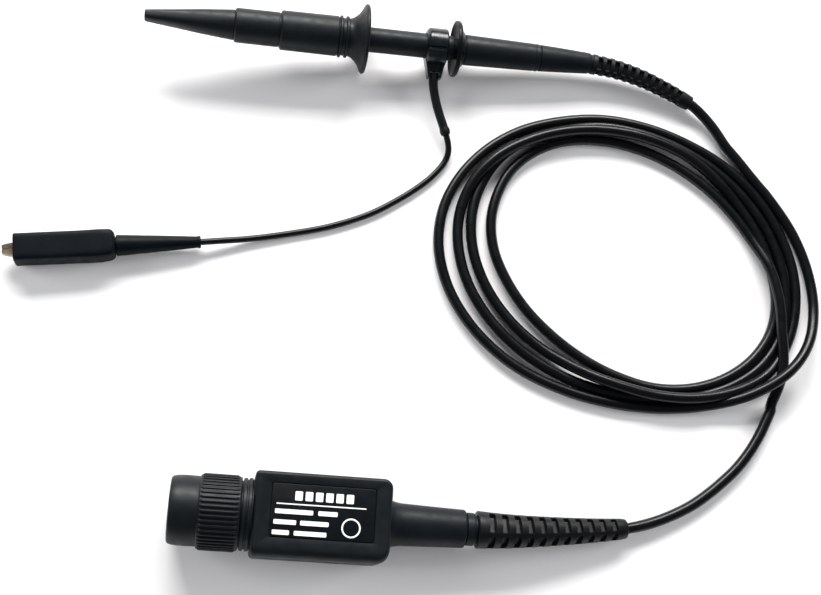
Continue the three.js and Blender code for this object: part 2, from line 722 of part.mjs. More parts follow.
/** Bayonet ring: a tube with two entry slots that turn into short ramps for the socket's lugs. */
function bayonetRing() {
  const { front, rear, inner, outer } = BAYONET;
  let ring = turnedRing(
    [[front, outer - 0.4], [front + 0.4, outer], [rear, outer]],
    [[rear, inner], [front + 0.4, inner], [front, inner + 0.3]],
    ROUND,
  );
  const lugHalf = 1.15;
  const slotReach = 5.9;
  const rampSteps = 5;
  const rampTurn = 15;
  for (const start of [0, 180]) {
    const entry = block([front - 1, 5.2], [-lugHalf, lugHalf], [0, slotReach]);
    ring = ring.subtract(rotatedAboutX(entry, start));
    for (let i = 1; i <= rampSteps; i++) {
      const shift = 0.35 * i;
      const step = block([2.9 + shift, 5.2 + shift], [-lugHalf, lugHalf], [0, slotReach]);
      ring = ring.subtract(rotatedAboutX(step, start + rampTurn * i));
    }
  }
  return ring;
}

/** Fixed plug body: a barrel that carries the rings, with a flange let into the case. */
function plugBody() {
  return turnedRing(
    [[10.4, 4.6], [NECK_RING.front + 0.2, 4.6], [NECK_RING.front + 0.2, 6.0], [CASE.front + 2.4, 6.0]],
    [[CASE.front + 2.4, 2.6], [10.4, 2.6]],
  );
}

/** Outer contact: a thin sleeve with four slits, springy at its front. */
function contactSleeve() {
  const sleeve = turnedRing(
    [[1.9, 3.95], [2.3, 4.05], [10.2, 4.05]],
    [[10.2, 3.45], [2.3, 3.45], [1.9, 3.55]],
  );
  const slitHalf = 0.2;
  const slitX = [0, 7.5];
  const upright = block(slitX, [-slitHalf, slitHalf], [-6, 6]);
  const level = block(slitX, [-6, 6], [-slitHalf, slitHalf]);
  return sleeve.subtract(upright).subtract(level);
}

function plugDielectric() {
  return turnedRing(
    [[5.4, 1.9], [9.0, 1.9], [9.0, 3.35], [10.2, 3.35], [10.2, 2.5], [20, 2.5]],
    [[20, 0.75], [5.4, 0.75]],
  );
}

function centrePin() {
  return turnedSolid([[2.6, 0.3], [3.2, 0.66], [22, 0.66]], 16);
}

function waveWasher() {
  return tube(BAYONET.rear + 0.05, BAYONET.rear + 0.25, 6.6, 5.1);
}

function neckRing() {
  const { front, rear, radius, groove } = NECK_RING;
  const middle = (front + rear) / 2;
  return turnedRing(
    [
      [front, radius - 0.3], [front + 0.3, radius], [middle - 0.3, radius], [middle - 0.2, groove],
      [middle + 0.2, groove], [middle + 0.3, radius], [rear, radius],
    ],
    [[rear, 6.2], [front, 6.2]],
    ROUND,
  );
}

place(box, "coupling_grip", couplingGrip(), satinPlastic());
place(box, "bayonet_ring", bayonetRing(), nickel());
place(box, "wave_washer", waveWasher(), steel());
place(box, "plug_body", plugBody(), nickel());
place(box, "plug_contact_sleeve", contactSleeve(), nickel());
place(box, "plug_dielectric", plugDielectric(), white());
place(box, "plug_centre_pin", centrePin(), gold());
place(box, "neck_ring", neckRing(), satinPlastic());

// ---------------------------------------------------------------- compensation box

/** The outline of the case seen from above, inset all round. */
function caseOutline(inset) {
  const x0 = CASE.front + inset;
  const x1 = CASE.rear - inset;
  const half = CASE.halfWidth - inset;
  const front = Math.max(CASE.frontCorner - inset, 0.3);
  const far = Math.max(CASE.farCorner - inset, 0.3);
  const near = Math.max(CASE.nearCorner - inset, 0.3);
  const shape = new THREE.Shape();
  shape.moveTo(x0 + front, -half);
  shape.lineTo(x1 - near, -half);
  shape.quadraticCurveTo(x1, -half, x1, near - half);
  shape.lineTo(x1, half - far);
  shape.quadraticCurveTo(x1, half, x1 - far, half);
  shape.lineTo(x0 + front, half);
  shape.quadraticCurveTo(x0, half, x0, half - front);
  shape.lineTo(x0, front - half);
  shape.quadraticCurveTo(x0, -half, x0 + front, -half);
  return shape;
}

function caseBlock(inset, halfHeight, edge) {
  const depth = 2 * (halfHeight - edge);
  const geometry = new THREE.ExtrudeGeometry(caseOutline(inset + edge), {
    depth, bevelEnabled: edge > 0, bevelThickness: edge, bevelSize: edge, bevelSegments: 3, curveSegments: 5,
  });
  geometry.translate(0, 0, -depth / 2);
  return solid(geometry);
}

/** The hollow case before it is split, with its openings cut. */
function wholeCase() {
  const { front, rear, halfHeight, wall, edge } = CASE;
  const hollow = caseBlock(wall, halfHeight - wall, 0);
  const plugHole = rod(front - 1, front + wall + 1, 6.0 + SLIM);
  const cableHole = rod(rear - wall - 1, rear + 1, NECK.spigot + SLIM);
  const label = block(
    [LABEL.front - GAP, LABEL.rear + GAP],
    [LABEL.near - GAP, LABEL.far + GAP],
    [halfHeight - LABEL.depth, halfHeight + 1],
  );
  const trimmerHole = post(TRIMMER.x, 0, -halfHeight - 1, wall - halfHeight + 1, TRIMMER.bore);
  const pinPocket = block([front + wall - 0.1, front + 6], [6.8, 9.8], [-7.4, -5.0]);
  const pinHole = rod(front - 1, front + wall + 1, READOUT.radius + SLIM, 16)
    .translate([0, READOUT.y, READOUT.z]);
  return caseBlock(0, halfHeight, edge)
    .subtract(hollow)
    .subtract(plugHole)
    .subtract(cableHole)
    .subtract(label)
    .subtract(trimmerHole)
    .subtract(pinPocket)
    .subtract(pinHole);
}

function caseHalf(upper) {
  const reach = [[CASE.front - 5, CASE.rear + 5], [-20, 20]];
  const seam = 0.05;
  const keep = upper ? block(...reach, [seam, 20]) : block(...reach, [-20, -seam]);
  return wholeCase().intersect(keep);
}

function labelPanel() {
  const { front, rear, near, far, depth } = LABEL;
  const top = CASE.halfHeight - 0.08;
  return block([front, rear], [near, far], [CASE.halfHeight - depth + SLIM / 2, top]);
}

function neckBoot() {
  const { rear, rootRadius, frontRadius, rearRadius, spigot } = NECK;
  const start = CASE.rear + GAP;
  return turnedSolid(
    [
      [CASE.rear - CASE.wall - 0.6, spigot], [start, spigot], [start, rootRadius],
      [start + 1.0, rootRadius - 0.45], [start + 2.4, frontRadius], [start + 9, frontRadius - 0.28],
      [rear - 0.3, rearRadius], [rear, rearRadius - 0.3],
    ],
    ROUND,
  );
}

function trimmerBody() {
  const body = post(TRIMMER.x, 0, -4.4, -0.9, TRIMMER.bodyRadius);
  return body.subtract(post(TRIMMER.x, 0, -5, -2.4, 0.7, 16));
}

/** Trimmer rotor: a disc with a screwdriver slot on a thin stem. */
function trimmerRotor() {
  const disc = post(TRIMMER.x, 0, -5.8, -4.6, TRIMMER.rotorRadius);
  const stem = post(TRIMMER.x, 0, -4.7, -2.6, 0.6, 16);
  const slot = block([TRIMMER.x - 2, TRIMMER.x + 2], [-0.25, 0.25], [-6, -5.3]);
  return disc.add(stem).subtract(slot);
}

function readoutPin() {
  const { y, z, radius, front, rear, flange } = READOUT;
  const pin = turnedSolid(
    [
      [front, radius - 0.3], [front + 0.3, radius], [rear - 0.9, radius], [rear - 0.9, flange],
      [rear, flange],
    ],
    16,
  );
  return pin.translate([0, y, z]);
}

const BOARD = { front: 24.4, rear: 53.4, halfWidth: 6.6, halfThick: 0.8 };

place(box, "case_upper", caseHalf(true), satinPlastic());
place(box, "case_lower", caseHalf(false), satinPlastic());
place(box, "label_panel", labelPanel(), material(0x141517, 0.6));
place(box, "neck_boot", neckBoot(), softPlastic());
place(box, "neck_collar", rod(NECK.rear + GAP, 78.9, 4.3, ROUND), softPlastic());
place(
  box,
  "circuit_board",
  block([BOARD.front, BOARD.rear], [-BOARD.halfWidth, BOARD.halfWidth], [-BOARD.halfThick, BOARD.halfThick]),
  material(0x1f5a35, 0.5),
);
place(box, "trimmer_body", trimmerBody(), white());
place(box, "trimmer_rotor", trimmerRotor(), gold());
place(
  box,
  "matching_resistor",
  turnedSolid([[29, 0.8], [29.4, 1.1], [30.2, 0.95], [33.8, 0.95], [34.6, 1.1], [35, 0.8]])
    .translate([0, 3, 2]),
  material(0x3f6f8f, 0.5),
);
place(box, "matching_capacitor", block([38, 42], [-4.5, -2.5], [0.9, 3.6]), material(0xb07a3c, 0.5));
place(box, "readout_pin", readoutPin(), gold());

export default group;
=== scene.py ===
"""Oscilloscope probe with hook tip, ground lead with a spring clip, coiled cable and compensation box."""
import json
import math

import bmesh
import bpy
from mathutils import Matrix, Vector


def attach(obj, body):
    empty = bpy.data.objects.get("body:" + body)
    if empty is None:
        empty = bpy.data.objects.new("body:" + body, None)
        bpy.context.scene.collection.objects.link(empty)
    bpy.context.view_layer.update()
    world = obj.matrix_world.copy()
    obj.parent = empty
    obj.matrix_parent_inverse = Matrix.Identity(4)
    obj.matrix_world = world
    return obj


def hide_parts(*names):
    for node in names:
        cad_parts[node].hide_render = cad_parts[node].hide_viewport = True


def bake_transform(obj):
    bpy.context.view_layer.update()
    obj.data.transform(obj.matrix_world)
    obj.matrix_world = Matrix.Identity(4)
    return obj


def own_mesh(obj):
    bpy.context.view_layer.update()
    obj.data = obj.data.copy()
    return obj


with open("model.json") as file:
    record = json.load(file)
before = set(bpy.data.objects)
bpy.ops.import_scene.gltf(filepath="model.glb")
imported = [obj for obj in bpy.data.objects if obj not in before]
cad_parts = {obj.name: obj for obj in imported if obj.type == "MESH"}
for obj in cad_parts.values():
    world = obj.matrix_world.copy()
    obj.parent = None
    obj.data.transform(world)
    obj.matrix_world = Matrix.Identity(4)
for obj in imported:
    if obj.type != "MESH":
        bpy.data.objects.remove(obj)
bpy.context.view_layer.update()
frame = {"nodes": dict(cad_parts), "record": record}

scene = bpy.context.scene
MM = 0.001


def part_frame(origin, yaw, pitch):
    """Matrix from a part's own millimetres to the row frame in metres."""
    turn = Matrix.Rotation(math.radians(yaw), 4, "Z") @ Matrix.Rotation(math.radians(pitch), 4, "Y")
    return Matrix.Scale(MM, 4) @ Matrix.Translation(origin) @ turn


# The probe's, the box's and the clip's own frames, the same as in the solids: x runs along each axis.
PROBE = part_frame((-79.5, 72.55, 13.88), -3.38, 3.8)
BOX = part_frame((-70.6, -62.94, 10.42), -4.79, 2.2)
CLIP = part_frame((-116.3, 7.15, 4.65), 3.4, 1.9)
ROW = Matrix.Scale(MM, 4)


# ---------------------------------------------------------------- materials


COAT_ROUGHNESS = 0.2
DRIFT_SCALE, GLOSS_SCALE, STREAK_SCALE = 140.0, 420.0, 900.0  # noise cells per metre
GRAIN_SHARE, GRAIN_GAIN = 0.35, 1.35  # how far the fine grain shows in the colour, and how pale it is
EDGE_WEAR_SHEEN_START, EDGE_WEAR_SHEEN_END = 0.52, 0.62  # pointiness where an edge starts to look rubbed and painted with a highlight, and is fully so
EDGE_WEAR_SHEEN_GAIN, EDGE_WEAR_SHEEN_LIFT = 3.0, 0.02  # a rubbed edge's colour against the base, which also paints a highlight along the edge
MIX_A, MIX_B, MIX_RESULT = 6, 7, 2  # the Mix node's colour sockets


def node_look(name, base, rough, *, metal=0.0, tone=0.25, grain=5200.0, bump=0.35, depth=0.00003,
              rough_spread=0.08, edge_wear_and_sheen=0.0, coat=0.0, streak=0.0, specular=0.4):
    """A procedural material: slow tone drift, fine moulded grain, uneven gloss, and pale rubbed edges that
    are also a painted edge highlight.
    """
    look = bpy.data.materials.new(name)
    look.use_nodes = True
    tree = look.node_tree
    nodes, links = tree.nodes, tree.links
    shader = nodes["Principled BSDF"]
    shader.inputs["Metallic"].default_value = metal
    shader.inputs["Specular IOR Level"].default_value = specular
    shader.inputs["Coat Weight"].default_value = coat
    shader.inputs["Coat Roughness"].default_value = COAT_ROUGHNESS
    where = nodes.new("ShaderNodeTexCoord").outputs["Object"]

    def noise(scale, detail=3.0, stretch=None):
        node = nodes.new("ShaderNodeTexNoise")
        node.inputs["Scale"].default_value = scale
        node.inputs["Detail"].default_value = detail
        source = where
        if stretch:
            mapping = nodes.new("ShaderNodeMapping")
            mapping.inputs["Scale"].default_value = stretch
            links.new(where, mapping.inputs["Vector"])
            source = mapping.outputs["Vector"]
        links.new(source, node.inputs["Vector"])
        return node.outputs["Fac"]

    def spread(value, low, high, start=0.3, end=0.7):
        node = nodes.new("ShaderNodeMapRange")
        node.inputs["From Min"].default_value = start
        node.inputs["From Max"].default_value = end
        node.inputs["To Min"].default_value = low
        node.inputs["To Max"].default_value = high
        links.new(value, node.inputs["Value"])
        return node.outputs["Result"]

    def blend(factor, first, second):
        node = nodes.new("ShaderNodeMix")
        node.data_type = "RGBA"
        links.new(factor, node.inputs["Factor"])
        for socket, value in ((node.inputs[MIX_A], first), (node.inputs[MIX_B], second)):
            if isinstance(value, tuple):
                socket.default_value = (*value, 1.0)
            else:
                links.new(value, socket)
        return node.outputs[MIX_RESULT]

    dark = tuple(c * (1 - tone) for c in base)
    pale = tuple(c * (1 + tone) for c in base)
    colour = blend(spread(noise(DRIFT_SCALE, 4.0), 0.0, 1.0), dark, pale)
    fine = noise(grain, 2.0)
    colour = blend(spread(fine, 0.0, GRAIN_SHARE), colour, tuple(c * GRAIN_GAIN for c in base))
    # Convex edges are lightened by pointiness: this is rubbed wear, and it is also a painted highlight along
    # every edge.
    if edge_wear_and_sheen:
        edge = nodes.new("ShaderNodeNewGeometry").outputs["Pointiness"]
        worn_sheen_edge = spread(edge, 0.0, edge_wear_and_sheen, EDGE_WEAR_SHEEN_START, EDGE_WEAR_SHEEN_END)
        colour = blend(worn_sheen_edge, colour, tuple(min(1.0, c * EDGE_WEAR_SHEEN_GAIN + EDGE_WEAR_SHEEN_LIFT) for c in base))
    links.new(colour, shader.inputs["Base Color"])
    gloss = spread(noise(GLOSS_SCALE, 4.0), rough - rough_spread, rough + rough_spread)
    links.new(gloss, shader.inputs["Roughness"])
    height = fine
    if streak:
        lines = noise(STREAK_SCALE, 3.0, (streak, 1.0, 1.0))
        add = nodes.new("ShaderNodeMath")
        add.operation = "ADD"
        links.new(fine, add.inputs[0])
        links.new(lines, add.inputs[1])
        height = add.outputs["Value"]
    bump_node = nodes.new("ShaderNodeBump")
    bump_node.inputs["Strength"].default_value = bump
    bump_node.inputs["Distance"].default_value = depth
    links.new(height, bump_node.inputs["Height"])
    links.new(bump_node.outputs["Normal"], shader.inputs["Normal"])
    return look


SLOT_LOOKS = {
    "satin_black": dict(base=(0.0042, 0.006, 0.0076), rough=0.47, edge_wear_and_sheen=0.3, bump=0.34, specular=0.24),
    "soft_black": dict(
        base=(0.0034, 0.0054, 0.0078), rough=0.5, grain=4200.0, bump=0.38, edge_wear_and_sheen=0.2, specular=0.22),
    "rubber_black": dict(
        base=(0.0022, 0.003, 0.0036), rough=0.46, grain=3600.0, bump=0.4, edge_wear_and_sheen=0.3, specular=0.26),
    "jacket_black": dict(
        base=(0.0016, 0.0022, 0.0027), rough=0.31, grain=3000.0, bump=0.2, tone=0.2, depth=0.00004,
        rough_spread=0.05, specular=0.3),
    "label_black": dict(base=(0.0026, 0.0038, 0.005), rough=0.46, grain=6500.0, bump=0.2, specular=0.22),
    "nickel": dict(
        base=(0.6, 0.565, 0.5), rough=0.24, metal=1.0, tone=0.1, grain=2400.0, bump=0.18, streak=9.0),
    "gold_plate": dict(base=(0.83, 0.58, 0.2), rough=0.2, metal=1.0, tone=0.08, grain=2600.0, bump=0.12),
    "spring_steel": dict(
        base=(0.5, 0.5, 0.5), rough=0.28, metal=1.0, tone=0.12, grain=2800.0, bump=0.2, streak=6.0),
    "white_plastic": dict(base=(0.78, 0.75, 0.68), rough=0.38, tone=0.05, grain=4200.0, bump=0.15),
    "board_green": dict(base=(0.015, 0.09, 0.03), rough=0.35, tone=0.2, grain=2500.0, bump=0.3, coat=0.4),
    "resistor_blue": dict(base=(0.06, 0.17, 0.3), rough=0.25, tone=0.12, coat=0.3),
    "capacitor_ochre": dict(base=(0.43, 0.2, 0.045), rough=0.28, tone=0.15, coat=0.3),
}
LOOKS = {slot: node_look(slot, **values) for slot, values in SLOT_LOOKS.items()}
INK = node_look(
    "printed_white", (0.82, 0.82, 0.8), 0.5, tone=0.04, grain=7000.0, bump=0.15, rough_spread=0.05)
JAW_PLATE = node_look("worn_plate", (0.26, 0.21, 0.155), 0.38, metal=1.0, tone=0.25, grain=1800.0, bump=0.3,
                      streak=5.0)
GLOSSY_BLACK = node_look(
    "glossy_black", (0.0036, 0.0056, 0.0072), 0.24, bump=0.15, edge_wear_and_sheen=0.3, rough_spread=0.06)
# The finger guard is darker and less shiny than the other satin plastic: painted shade for its near face,
# which faces away from the key light.
GUARD_SHADED_BLACK = node_look("guard_painted_shade_black", (0.0022, 0.003, 0.0038), 0.36, bump=0.2, edge_wear_and_sheen=0.3, specular=0.16)
CLIP_BLACK = node_look("clip_black", (0.0018, 0.0034, 0.0052), 0.52, grain=4200.0, bump=0.38, edge_wear_and_sheen=0.2,
                       specular=0.1)

for subpart in frame["record"]["subparts"]:
    node = frame["nodes"][subpart["node"]]
    node.data.materials.clear()
    node.data.materials.append(LOOKS[subpart["material_slot"]])
for name in ("clip_fixed_jaw", "clip_moving_jaw"):
    frame["nodes"][name].data.materials[0] = JAW_PLATE


# ---------------------------------------------------------------- mesh code

SIDES = 96


def build(name, verts, faces, place, look, sharp=32.0):
    """A mesh object from points in a part's own millimetres, outward faces, smooth but for its edges."""
    mesh = bpy.data.meshes.new(name)
    mesh.from_pydata([place @ Vector(v) for v in verts], [], faces)
    work = bmesh.new()
    work.from_mesh(mesh)
    bmesh.ops.recalc_face_normals(work, faces=work.faces)
    work.to_mesh(mesh)
    work.free()
    return wrap(name, mesh, look, sharp)


def wrap(name, mesh, look, sharp=32.0):
    mesh.name = name
    mesh.shade_smooth()
    mesh.set_sharp_from_angle(angle=math.radians(sharp))
    mesh.materials.clear()
    mesh.materials.append(look)
    piece = bpy.data.objects.new(name, mesh)
    scene.collection.objects.link(piece)
    return piece


def eased(outline, size=0.15, ring=False, steps=4):
    """The outline with each corner replaced by a small curve. A third number in a point is its own size."""
    result = []
    count = len(outline)
    for i, corner in enumerate(outline):
        here = Vector(corner[:2])
        if not ring and i in (0, count - 1):
            result.append(tuple(here))
            continue
        back = Vector(outline[i - 1][:2]) - here
        ahead = Vector(outline[(i + 1) % count][:2]) - here
        if back.angle(ahead) > math.radians(174):
            result.append(tuple(here))
            continue
        reach = min(corner[2] if len(corner) > 2 else size, 0.45 * back.length, 0.45 * ahead.length)
        start = here + back.normalized() * reach
        end = here + ahead.normalized() * reach
        for step in range(steps + 1):
            t = step / steps
            result.append(tuple((1 - t) ** 2 * start + 2 * t * (1 - t) * here + t * t * end))
    return result


def lathe(profile, sides=SIDES, ring=False):
    """Points and faces of a shape turned about x. The profile is a list of (x, radius)."""
    verts, faces, rows = [], [], []
    for x, r in profile:
        if r < 1e-6:
            rows.append([len(verts)])
            verts.append((x, 0.0, 0.0))
        else:
            rows.append(list(range(len(verts), len(verts) + sides)))
            verts += [(x, r * math.cos(2 * math.pi * j / sides), r * math.sin(2 * math.pi * j / sides))
                      for j in range(sides)]
    pairs = list(zip(rows, rows[1:])) + ([(rows[-1], rows[0])] if ring else [])
    for a, b in pairs:
        for j in range(sides):
            k = (j + 1) % sides
            if len(a) == 1:
                faces.append((a[0], b[k], b[j]))
            elif len(b) == 1:
                faces.append((a[j], a[k], b[0]))
            else:
                faces.append((a[j], a[k], b[k], b[j]))
    return verts, faces


def turned(name, outline, place, look, sides=SIDES, size=0.15, **more):
    """A solid turned piece: the outline runs from the axis at the front to the axis at the rear."""
    profile = [(outline[0][0], 0.0), *outline, (outline[-1][0], 0.0)]
    return build(name, *lathe(eased(profile, size), sides), place, look, **more)


def turned_ring(name, outer, inner, place, look, sides=SIDES, size=0.15, **more):
    """A turned ring: its outer outline front to rear, then its inner outline rear to front."""
    profile = eased([*outer, *inner], size, ring=True)
    return build(name, *lathe(profile, sides, ring=True), place, look, **more)


def rings_to_mesh(rings, caps=True):
    """Points and faces through rings of points, all with the same count."""
    sides = len(rings[0])
    verts = [tuple(p) for ring in rings for p in ring]
    faces = []
    for i in range(len(rings) - 1):
        for j in range(sides):
            k = (j + 1) % sides
            faces.append((i * sides + j, i * sides + k, (i + 1) * sides + k, (i + 1) * sides + j))
    if caps:
        faces.append(tuple(range(sides))[::-1])
        faces.append(tuple((len(rings) - 1) * sides + j for j in range(sides)))
    return verts, faces


def smooth_path(points, spacing):
    """Centripetal curve through the points, in even steps of about the spacing."""
    pts = [Vector(p) for p in points]
    pts = [2 * pts[0] - pts[1], *pts, 2 * pts[-1] - pts[-2]]
    fine = []
    for p0, p1, p2, p3 in zip(pts, pts[1:], pts[2:], pts[3:]):
        t1 = max((p1 - p0).length, 1e-6) ** 0.5
        t2 = t1 + max((p2 - p1).length, 1e-6) ** 0.5
        t3 = t2 + max((p3 - p2).length, 1e-6) ** 0.5
        pieces = max(6, int((p2 - p1).length / spacing * 4))
        for step in range(pieces):
            t = t1 + (t2 - t1) * step / pieces
            a1 = p0.lerp(p1, t / t1)
            a2 = p1.lerp(p2, (t - t1) / (t2 - t1))
            a3 = p2.lerp(p3, (t - t2) / (t3 - t2))
            b1 = a1.lerp(a2, t / t2)
            b2 = a2.lerp(a3, (t - t1) / (t3 - t1))
            fine.append(b1.lerp(b2, (t - t1) / (t2 - t1)))
    fine.append(pts[-2].copy())
    lengths = [0.0]
    for a, b in zip(fine, fine[1:]):
        lengths.append(lengths[-1] + (b - a).length)
    steps = max(2, round(lengths[-1] / spacing))
    even, i = [], 0
    for step in range(steps + 1):
        target = lengths[-1] * step / steps
        while i < len(lengths) - 2 and lengths[i + 1] < target:
            i += 1
        share = (target - lengths[i]) / max(lengths[i + 1] - lengths[i], 1e-9)
        even.append(fine[i].lerp(fine[i + 1], min(max(share, 0.0), 1.0)))
    return even


def path_length(path):
    return sum((b - a).length for a, b in zip(path, path[1:]))


def level_frames(path):
    """At each point of a path: the way along it, level across it, and up."""
    frames = []
    for i, at in enumerate(path):
        along = (path[min(i + 1, len(path) - 1)] - path[max(i - 1, 0)]).normalized()
        across = Vector((0, 0, 1)).cross(along)
        across = across.normalized() if across.length > 1e-6 else Vector((0, 1, 0))
        frames.append((at, along, across, along.cross(across)))
    return frames


def swept_rings(path, radius, angles):
    """Rings round a path. radius(distance, angle) is in the path's unit; an angle of 0 is up."""
    rings, distance, last = [], 0.0, path[0]
    for at, along, across, up in level_frames(path):
        distance += (at - last).length
        last = at
        rings.append([at + (up * math.cos(a) + across * math.sin(a)) * radius(distance, a) for a in angles])
    return rings


def even_angles(sides):
    return [2 * math.pi * j / sides for j in range(sides)]


def round_wire(name, path, radius, place, look, sides):
    """A wire of one radius along a path."""
    rings = swept_rings(path, lambda distance, angle: radius, even_angles(sides))
    return build(name, *rings_to_mesh(rings), place, look)


def cut(piece, *cutters):
    """Cuts other meshes out of a piece and removes them."""
    for cutter in cutters:
        tool = piece.modifiers.new("cut", "BOOLEAN")
        tool.operation = "DIFFERENCE"
        tool.solver = "EXACT"
        tool.object = cutter
    return settle(piece, *cutters)


def settle(piece, *spent):
    """Applies a piece's modifiers to its mesh, and removes objects that are no longer needed."""
    bpy.context.view_layer.update()
    mesh = bpy.data.meshes.new_from_object(piece.evaluated_get(bpy.context.evaluated_depsgraph_get()))
    piece.modifiers.clear()
    old, piece.data = piece.data, mesh
    mesh.name = piece.name
    bpy.data.meshes.remove(old)
    for other in spent:
        bpy.data.objects.remove(other)
    return piece


def softened(piece, width, segments=2, angle=38.0, sharp=32.0):
    """Rounds a piece's hard edges by a width in millimetres."""
    tool = piece.modifiers.new("round", "BEVEL")
    tool.width = width * MM
    tool.segments = segments
    tool.limit_method = "ANGLE"
    tool.angle_limit = math.radians(angle)
    tool.use_clamp_overlap = True
    settle(piece)
    piece.data.shade_smooth()
    piece.data.set_sharp_from_angle(angle=math.radians(sharp))
    return piece


def block(name, xs, ys, zs, place, look):
    corners = [(x, y, z) for x in xs for y in ys for z in zs]
    faces = [(0, 1, 3, 2), (4, 6, 7, 5), (0, 4, 5, 1), (2, 3, 7, 6), (0, 2, 6, 4), (1, 5, 7, 3)]
    return build(name, corners, faces, place, look)


def join(name, pieces):
    """One object from several, with the first one's material."""
    work = bmesh.new()
    for piece in pieces:
        work.from_mesh(piece.data)
    look = pieces[0].data.materials[0]
    mesh = bpy.data.meshes.new(name)
    work.to_mesh(mesh)
    work.free()
    for piece in pieces:
        bpy.data.objects.remove(piece)
    return wrap(name, mesh, look)


def fit(piece, body, slot, *nodes):
    """The piece rides on a body and stands for CAD nodes, which it hides. The slot is not used."""
    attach(piece, body)
    if nodes:
        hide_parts(*nodes)
    return piece


# ---------------------------------------------------------------- camera

LOOK_AT = Vector((-5.9, -4.75, 0.0)) * MM
TOWARDS_CAMERA = Vector((-0.11606, -0.24713, 0.96201)).normalized()
CAMERA_DISTANCE = 0.349

camera = bpy.data.objects.new("camera", bpy.data.cameras.new("camera"))
scene.collection.objects.link(camera)
right = Vector((0.99324, -0.02888, 0.11241)).normalized()
up = TOWARDS_CAMERA.cross(right).normalized()
right = up.cross(TOWARDS_CAMERA).normalized()
turn = Matrix((right, up, TOWARDS_CAMERA)).transposed().to_4x4()
camera.matrix_world = Matrix.Translation(LOOK_AT + TOWARDS_CAMERA * CAMERA_DISTANCE) @ turn
camera.data.lens = 54.72
camera.data.sensor_width = 36.0
camera.data.sensor_fit = "HORIZONTAL"
camera.data.clip_start = 0.005
camera.data.clip_end = 20.0
scene.camera = camera

# ---------------------------------------------------------------- main cable

COIL_CENTRE = Vector((57.2, 5.9))
COIL_ALONG = Vector((48.4, -25.8))
COIL_ACROSS = Vector((-21.5, -37.2))


def coil_point(degrees, scale, z):
    angle = math.radians(degrees)
    flat = COIL_CENTRE + scale * (math.cos(angle) * COIL_ALONG + math.sin(angle) * COIL_ACROSS)
    return (flat.x, flat.y, z)


def turn_of_coil(scales, heights):
    """A turn's points every 15 degrees from 0; its height is 1.5 mm where none is given."""
    return [coil_point(15 * i, scale, heights.get(15 * i, 1.5)) for i, scale in enumerate(scales)]


CABLE_RADIUS = 1.5
CABLE_START = [(77.3, 54.75, 3.12), (78.4, 54.05, 3.04), (79.4, 53.4, 2.95), (82.6, 50.4, 2.5),
               (85.8, 46.4, 2.1), (88.9, 41.2, 1.8)]
CABLE_END = [
    (95.3, -36.9, 1.6), (93.4, -40.7, 1.6), (90.6, -45.4, 1.6), (87.2, -50.0, 1.6), (83.4, -54.1, 1.6),
    (79.2, -57.6, 1.6), (74.4, -61.1, 1.6), (69.2, -64.2, 1.7), (63.4, -66.7, 1.9), (57.4, -68.6, 2.2),
    (50.7, -69.88, 2.8), (49.2, -69.95, 2.97), (48.2, -69.99, 3.1),
]
LEAD_IN = [(280, 1.085, 1.6), (285, 1.055, 1.6), (290, 1.03, 1.6), (295, 1.015, 1.6), (300, 1.01, 1.6),
           (315, 1.005, 1.6), (330, 1.007, 1.8), (345, 1.015, 2.6)]
TURN_1 = turn_of_coil(
    [1.015, 1.002, 0.98, 0.955, 0.952, 0.97, 1.005, 1.045, 1.062, 1.06, 1.042, 1.013, 0.982, 0.962, 0.952,
     0.945, 0.953, 0.955, 0.955, 0.957, 0.945, 0.93, 0.923, 0.922],
    {0: 5.0, 15: 6.7, 30: 4.6, 45: 2.2},
)
TURN_2 = turn_of_coil(
    [0.93, 0.943, 0.93, 0.91, 0.885, 0.86, 0.85, 0.85, 0.853, 0.855, 0.857, 0.86, 0.866, 0.88, 0.887, 0.887,
     0.902, 0.902, 0.898, 0.888, 0.875, 0.865, 0.858, 0.868],
    {15: 1.9, 30: 3.6, 45: 4.5, 60: 4.6, 75: 4.5, 90: 3.2, 105: 1.8},
)
TURN_3 = turn_of_coil(
    [0.882, 0.89, 0.89, 0.89, 0.89, 0.905, 0.925, 0.94, 0.946, 0.944, 0.935, 0.925, 0.91, 0.885, 0.865, 0.857,
     0.855, 0.855, 0.85, 0.83, 0.81, 0.798, 0.80, 0.815],
    {165: 1.6, 180: 2.9, 195: 4.5, 210: 4.5, 225: 4.4, 240: 4.3, 255: 4.2, 270: 3.7, 285: 2.5},
)
TURN_4 = turn_of_coil(
    [0.829, 0.835, 0.838, 0.838, 0.825, 0.79, 0.758, 0.735, 0.727, 0.728, 0.742, 0.755, 0.768, 0.79, 0.806,
     0.813, 0.803, 0.785, 0.765, 0.75, 0.743, 0.75, 0.775, 0.81],
    {315: 1.8, 330: 3.8, 345: 4.6},
)
LEAD_OUT = [(355, 0.845, 4.6), (360, 0.87, 4.5), (365, 0.91, 4.2), (370, 0.955, 3.9), (375, 1.0, 3.5),
            (380, 1.045, 2.0), (385, 1.09, 1.5)]

cable_path = smooth_path(
    [*CABLE_START, *[coil_point(*p) for p in LEAD_IN], *TURN_1, *TURN_2, *TURN_3, *TURN_4,
     *[coil_point(*p) for p in LEAD_OUT], *CABLE_END],
    1.6,
)


def cord_curve(name, path, radius, look):
    """A round cord as one open curve through the path's points."""
    data = bpy.data.curves.new(name, "CURVE")
    data.dimensions = "3D"
    data.bevel_depth = radius * MM
    data.bevel_resolution = 8
    data.use_fill_caps = True
    spline = data.splines.new("POLY")
    spline.points.add(len(path) - 1)
    for point, at in zip(spline.points, path):
        point.co = (*(at * MM), 1.0)
    spline.use_smooth = True
    data.materials.append(look)
    piece = bpy.data.objects.new(name, data)
    scene.collection.objects.link(piece)
    return piece


cable = cord_curve("main_cable", cable_path, CABLE_RADIUS, LOOKS["jacket_black"])
fit(cable, "probe", "jacket_black", "probe_cable_run", "cable_coil", "box_cable_run")

# ---------------------------------------------------------------- ground lead

